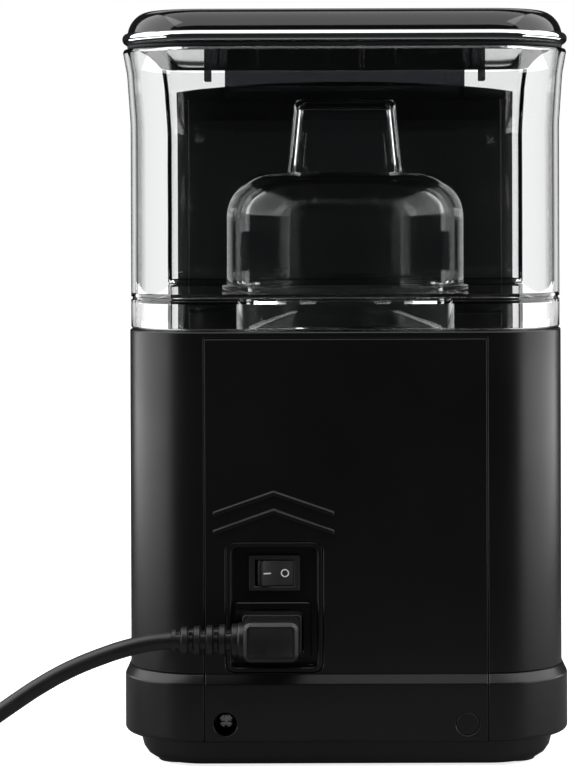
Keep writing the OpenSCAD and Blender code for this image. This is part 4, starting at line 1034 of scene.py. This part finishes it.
face_x = np.linspace(-5.6, 5.6, 29)
face = np.stack([face_x, rocker_face(face_x)], -1)
off_end = fillet([(-5.6, -4.6, 1), (-8.0, -2.2, 0.6), (-7.0, 5.9, 0.5)], 4, closed=False)[1:]
on_end = fillet([(7.0, 5.9, 0.5), (8.0, -2.2, 0.6), (5.6, -4.6, 1), (3, -5)], 4)[:-1]
rocker_section = np.concatenate([off_end, face, on_end])
EDGE = 0.45
inset = np.array([EDGE, EDGE * 0.3, 0, 0, EDGE * 0.3, EDGE])
level = np.array([-ROCKER_HALF_Z, -ROCKER_HALF_Z + 0.13, -ROCKER_HALF_Z + EDGE,
                  ROCKER_HALF_Z - EDGE, ROCKER_HALF_Z - 0.13, ROCKER_HALF_Z])
shrink = 1 - inset[None, :] / 7
rocker_grid = rocked(rocker_section[:, :1] * shrink, rocker_section[:, 1:] * shrink,
                     SWITCH_Z + level[None, :])
rocker = surface("rocker", rocker_grid, **CLOSED)
wear(rocker, GRAINED_BLACK, "gloss_black", "switch_rocker")


def ink_ring(centre, radius, line, half_length=0.0):
    """A flat ink mark on the rocker's face: a ring of that radius, or a dash of that half length."""
    turn = np.linspace(0, 2 * np.pi, 48, endpoint=False)[:, None]
    if half_length:
        across = np.array((0.02, 1.0, 1.0, 0.02))[None, :]
        x = centre + np.sign(np.cos(turn)) * half_length * across + line / 2 * np.cos(turn) * across
        z = line / 2 * np.sin(turn) * across
    else:
        reach = radius + line / 2 * np.array((-1, 1, 1, -1))[None, :]
        x, z = centre + reach * np.cos(turn), reach * np.sin(turn)
    proud = np.array((-0.05, -0.05, 0.05, 0.05))[None, :]
    return rocked(x, rocker_face(x) + proud, SWITCH_Z + z)


ring = surface("mark_off", ink_ring(-3.6, 1.42, 0.48))
dash = surface("mark_on", ink_ring(3.7, 0, 0.5, 1.35), **CLOSED)
marks = merged("rocker_marks", [ring, dash])
marks.data.materials.append(ink)
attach(marks, "rocker")
print("rocker tilts", round(float(np.degrees(TILT))), "degrees at rest")

# %% [markdown]
# The lead's connector is angled: its body fills the inlet and the cord leaves to the side through a
# strain relief. The relief is a tapered sleeve with five collars. Between the collars the sleeve is cut
# away on alternate sides, which lets it bend evenly instead of kinking at the body.

# %% Connector
SOCKET_X, SOCKET_Z = 30.1, 55.2
CORD_Y, CORD_Z = 129, 54.6
RELIEF_START, RELIEF_END = 43.0, 70.0
RIBS = 5
connector_low, connector_high = span("cord_connector")

body_front, body_back = 110.7, connector_high[1]
body_rim = fillet([(-2.2, body_front), (0, body_front, 0.9), (0, body_back - 1.5, 0.5),
                   (-0.9, body_back - 0.6, 0.5), (-1.4, body_back, 0.5), (-2.5, body_back),
                   (-3, body_back - 0.35)], 4, closed=False)
socket = (SOCKET_X, 0, SOCKET_Z)
body = carry("connector_body", body_rim, plan(11, -7.9, 7.9, 3.0, 3.0, 10), socket, "y", **CLOSED)
tongue = block("connector_tongue", 11.9, 8.1, 1.6, connector_low[1], 121, 0.4, origin=socket, axis="y")
shoulder_rim = fillet([(0.05, 4), (6.9, 4), (7.2, 10, 0.5), (7.0, 15.6, 1.2), (0.05, 15.9)], 4, closed=False)
shoulder = spin("connector_shoulder", shoulder_rim, (SOCKET_X - 2, CORD_Y, CORD_Z), "x", 64, **CLOSED)

# %% Strain relief
u, a = np.meshgrid(np.linspace(0, 1, 271), np.linspace(0, 2 * np.pi, 64, endpoint=False), indexing="ij")
core = 5.3 - 0.8 * u
cell = u * (RIBS + 0.35)
beat = cell - np.floor(cell)
collar = step(beat, 0.02, 0.14) - step(beat, 0.52, 0.64)
collar = np.where(cell < RIBS, collar, 0)
taper = 1.35 - 0.55 * u
gap = (1 - collar) * step(beat, 0.6, 0.7) * (cell < RIBS)
odd = np.floor(cell) % 2
waist = np.where(odd > 0, np.abs(np.cos(a)), np.abs(np.sin(a)))
reach = core + taper * collar - 0.9 * gap * step(waist, 0.55, 0.8)
relief_grid = np.stack([RELIEF_START + (RELIEF_END - RELIEF_START) * u, CORD_Y + reach * np.cos(a),
                        CORD_Z + reach * np.sin(a)], -1)
relief = surface("strain_relief", relief_grid, wrap=(False, True), caps="rows", crease=40)
connector = merged("lead_connector", [body, tongue, shoulder, relief])
wear(connector, MOULDED_PVC, "cord", "cord_connector")
print("connector spans", np.round(np.ptp(np.array(connector.bound_box), axis=0) / MM, 1))

# %% [markdown]
# ## The front
# The fascia carries a tinted display, a push button in a chromed ring, a dosing dial and, in a
# straight slot, the knob that sets the grind. Below them the container slides into its bay. The dial's rim is
# knurled: its radius follows a cosine with one wave for each flute.

# %% Display and dial
DIAL_X, CONTROL_Z = 30, 130
DIAL_R, FLUTES = 13.0, 30
FLUTE_SHARE = 0.035         # how much of the radius a flute takes
KNURL_START, KNURL_FADE = 11.6, 0.7         # the radius where flutes begin, and how soon they are full
FASCIA_Y = span("front_fascia")[0][1]
dress("display_lens", GLOSS, "display", 0.3)



def depth(node):
    """How far in front of the origin a piece of the front starts and ends."""
    low, high = span(node)
    return -high[1], -low[1]


dial_back, dial_face = depth("dose_dial")
wall_y = -FASCIA_Y
dial_profile = fillet([
    (0.05, dial_back), (3, dial_back, 0.3), (3, wall_y + 0.4), (DIAL_R - 0.9, wall_y + 0.4, 0.3),
    (DIAL_R - 0.5, wall_y + 1, 0.3), (DIAL_R - 0.7, dial_face - 0.7, 0.6), (DIAL_R - 1.7, dial_face, 0.4),
    (DIAL_R - 2.4, dial_face, 0.3), (DIAL_R - 3, dial_face - 0.5, 0.3), (0.05, dial_face - 0.4)],
    4, closed=False)
knurl = spun(dial_profile, FLUTES * 8)
flute_angle = np.arctan2(knurl[..., 1], knurl[..., 0])
rim_share = np.clip((np.hypot(knurl[..., 0], knurl[..., 1]) - KNURL_START) / KNURL_FADE, 0, 1)[..., None]
knurl[..., :2] *= 1 + FLUTE_SHARE * rim_share * np.cos(FLUTES * flute_angle)[..., None]
dial = surface("dose_knob", facing(knurl, (DIAL_X, 0, CONTROL_Z), "-y"), **CLOSED, crease=50)
pointer_slot = block("pointer_slot", 0.7, 3.2, 0.65, dial_face - 0.9, dial_face + 1, 0.05,
                     origin=(DIAL_X, 0, CONTROL_Z + 7), axis="-y")
cut(dial, pointer_slot, crease=50)
wear(dial, LACQUER, "control_grey", "dose_dial")

# %% Button and adjuster knob
button_back, button_face = depth("start_button")
button_profile = fillet([(0.05, button_back), (3, button_back, 0.3), (3, button_face - 7),
                         (9.9, button_face - 7, 0.3), (10, button_face - 0.9, 0.8), (8.6, button_face, 1.2),
                         (4, button_face - 0.5), (0.05, button_face - 0.7)], 5, closed=False)
button = spin("start_cap", button_profile, (-DIAL_X, 0, CONTROL_Z), "-y", 96, **CLOSED)
wear(button, LACQUER, "control_grey", "start_button")

ring_back, ring_face = depth("button_ring")
ring_outline = fillet([(10.35, ring_back), (12.6, ring_back, 0.2), (12.6, ring_face - 0.3, 0.5),
                       (11.6, ring_face, 0.4), (10.35, ring_face - 0.5, 0.3)], 5)
wear(spin("button_bezel", ring_outline, (-DIAL_X, 0, CONTROL_Z), "-y", 96), CHROME, "chrome", "button_ring")
dress("adjuster_knob", LACQUER, "control_grey", 0.35)

# %% Printed marks on the fascia


def ink_bar(name, x, z, wide, tall, tilt=0.0):
    """A flat bar of ink on the fascia, tilted about its middle by an angle in degrees."""
    turn = np.radians(tilt)
    soft = min(wide, tall) * 0.3
    rim = fillet([(a * wide / 2, b * tall / 2, soft) for a, b in ((-1, -1), (1, -1), (1, 1), (-1, 1))], 3)
    spot = np.stack([x + rim[:, 0] * np.cos(turn) - rim[:, 1] * np.sin(turn),
                     z + rim[:, 0] * np.sin(turn) + rim[:, 1] * np.cos(turn)], -1)
    rows = [np.stack([spot[:, 0], np.full(len(spot), y), spot[:, 1]], -1)
            for y in (FASCIA_Y + 0.03, FASCIA_Y - 0.05)]
    return surface(name, np.stack(rows, 1), **CLOSED)


TICK_REACH = 17.2           # from the dial's axis to its scale
SLOT_TOP = 164
print_marks = []
for k, bearing in enumerate(np.radians(np.linspace(225, -45, 10))):
    x, z = DIAL_X + TICK_REACH * np.cos(bearing), CONTROL_Z + TICK_REACH * np.sin(bearing)
    print_marks.append(ink_bar("tick", x, z, 1.6 + 0.16 * k, 0.55, np.degrees(bearing)))
for k, x in enumerate(np.linspace(-27, 27, 10)):
    tall = 1.4 + 0.22 * k
    print_marks.append(ink_bar("tick", x, SLOT_TOP + 3 + tall / 2, 0.6, tall))
fascia_marks = merged("fascia_marks", print_marks)
fascia_marks.data.materials.append(ink)
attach(fascia_marks, "machine")

# %% [markdown]
# The container is smoked plastic with a black front plate. The cup behind the plate's opening is where
# the fingers go to pull it out, and the lid has a hole under the chute.

# %% Container
dress("grounds_container", SMOKE, "smoke", 0.5)
dress("container_handle", CASE, "housing", 0.5)
dress("container_lid", CASE, "housing", 0.4)
print("container top at", span("container_lid")[1][2].round(1), "mm")

# %% [markdown]
# ## Inside
# What sits inside keeps the frame's exact shapes, teeth and bores included. Each piece gets the finish
# of what it is made from: acetal gears, a brass pinion, ground shafts, hardened burrs, ferrite magnets
# and a gearbox of glass-filled nylon.

# %% Materials for the frame's own nodes
INSIDE = {
    "inlet_pins": BRASS, "display_board": BOARD, "control_board": BOARD, "dial_encoder": NYLON,
    "chute": NYLON, "support_pillars": NYLON, "gearbox_base": NYLON, "gearbox_cover": NYLON,
    "motor_can": ZINC, "motor_magnets": FERRITE, "motor_rotor": COPPER, "motor_pinion": BRASS,
    "idler_gear": ACETAL, "idler_pin": STEEL, "output_gear": ACETAL, "burr_shaft": STEEL,
    "shaft_bearings": STEEL, "grinding_chamber": NYLON, "sweeper": ACETAL, "lower_burr": BURR_STEEL,
    "burr_nut": STEEL, "upper_burr": BURR_STEEL, "burr_carrier": NYLON, "adjuster_ring": NYLON,
    "bean_gate": NYLON, "hopper_seal": SILICONE, "wiring": WIRE}
for node, finish in INSIDE.items():
    for slot in frame["nodes"][node].material_slots:
        slot.material = finish
shown = [name for name, node in frame["nodes"].items() if not node.hide_render]
print("frame nodes shown:", len(shown), "without a finish:", sorted(set(shown) - set(INSIDE)))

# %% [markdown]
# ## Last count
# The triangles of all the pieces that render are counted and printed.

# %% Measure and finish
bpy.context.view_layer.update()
triangles = 0
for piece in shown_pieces():
    shape = piece.evaluated_get(bpy.context.evaluated_depsgraph_get()).to_mesh()
    triangles += sum(len(face.vertices) - 2 for face in shape.polygons)
print("triangles:", triangles)
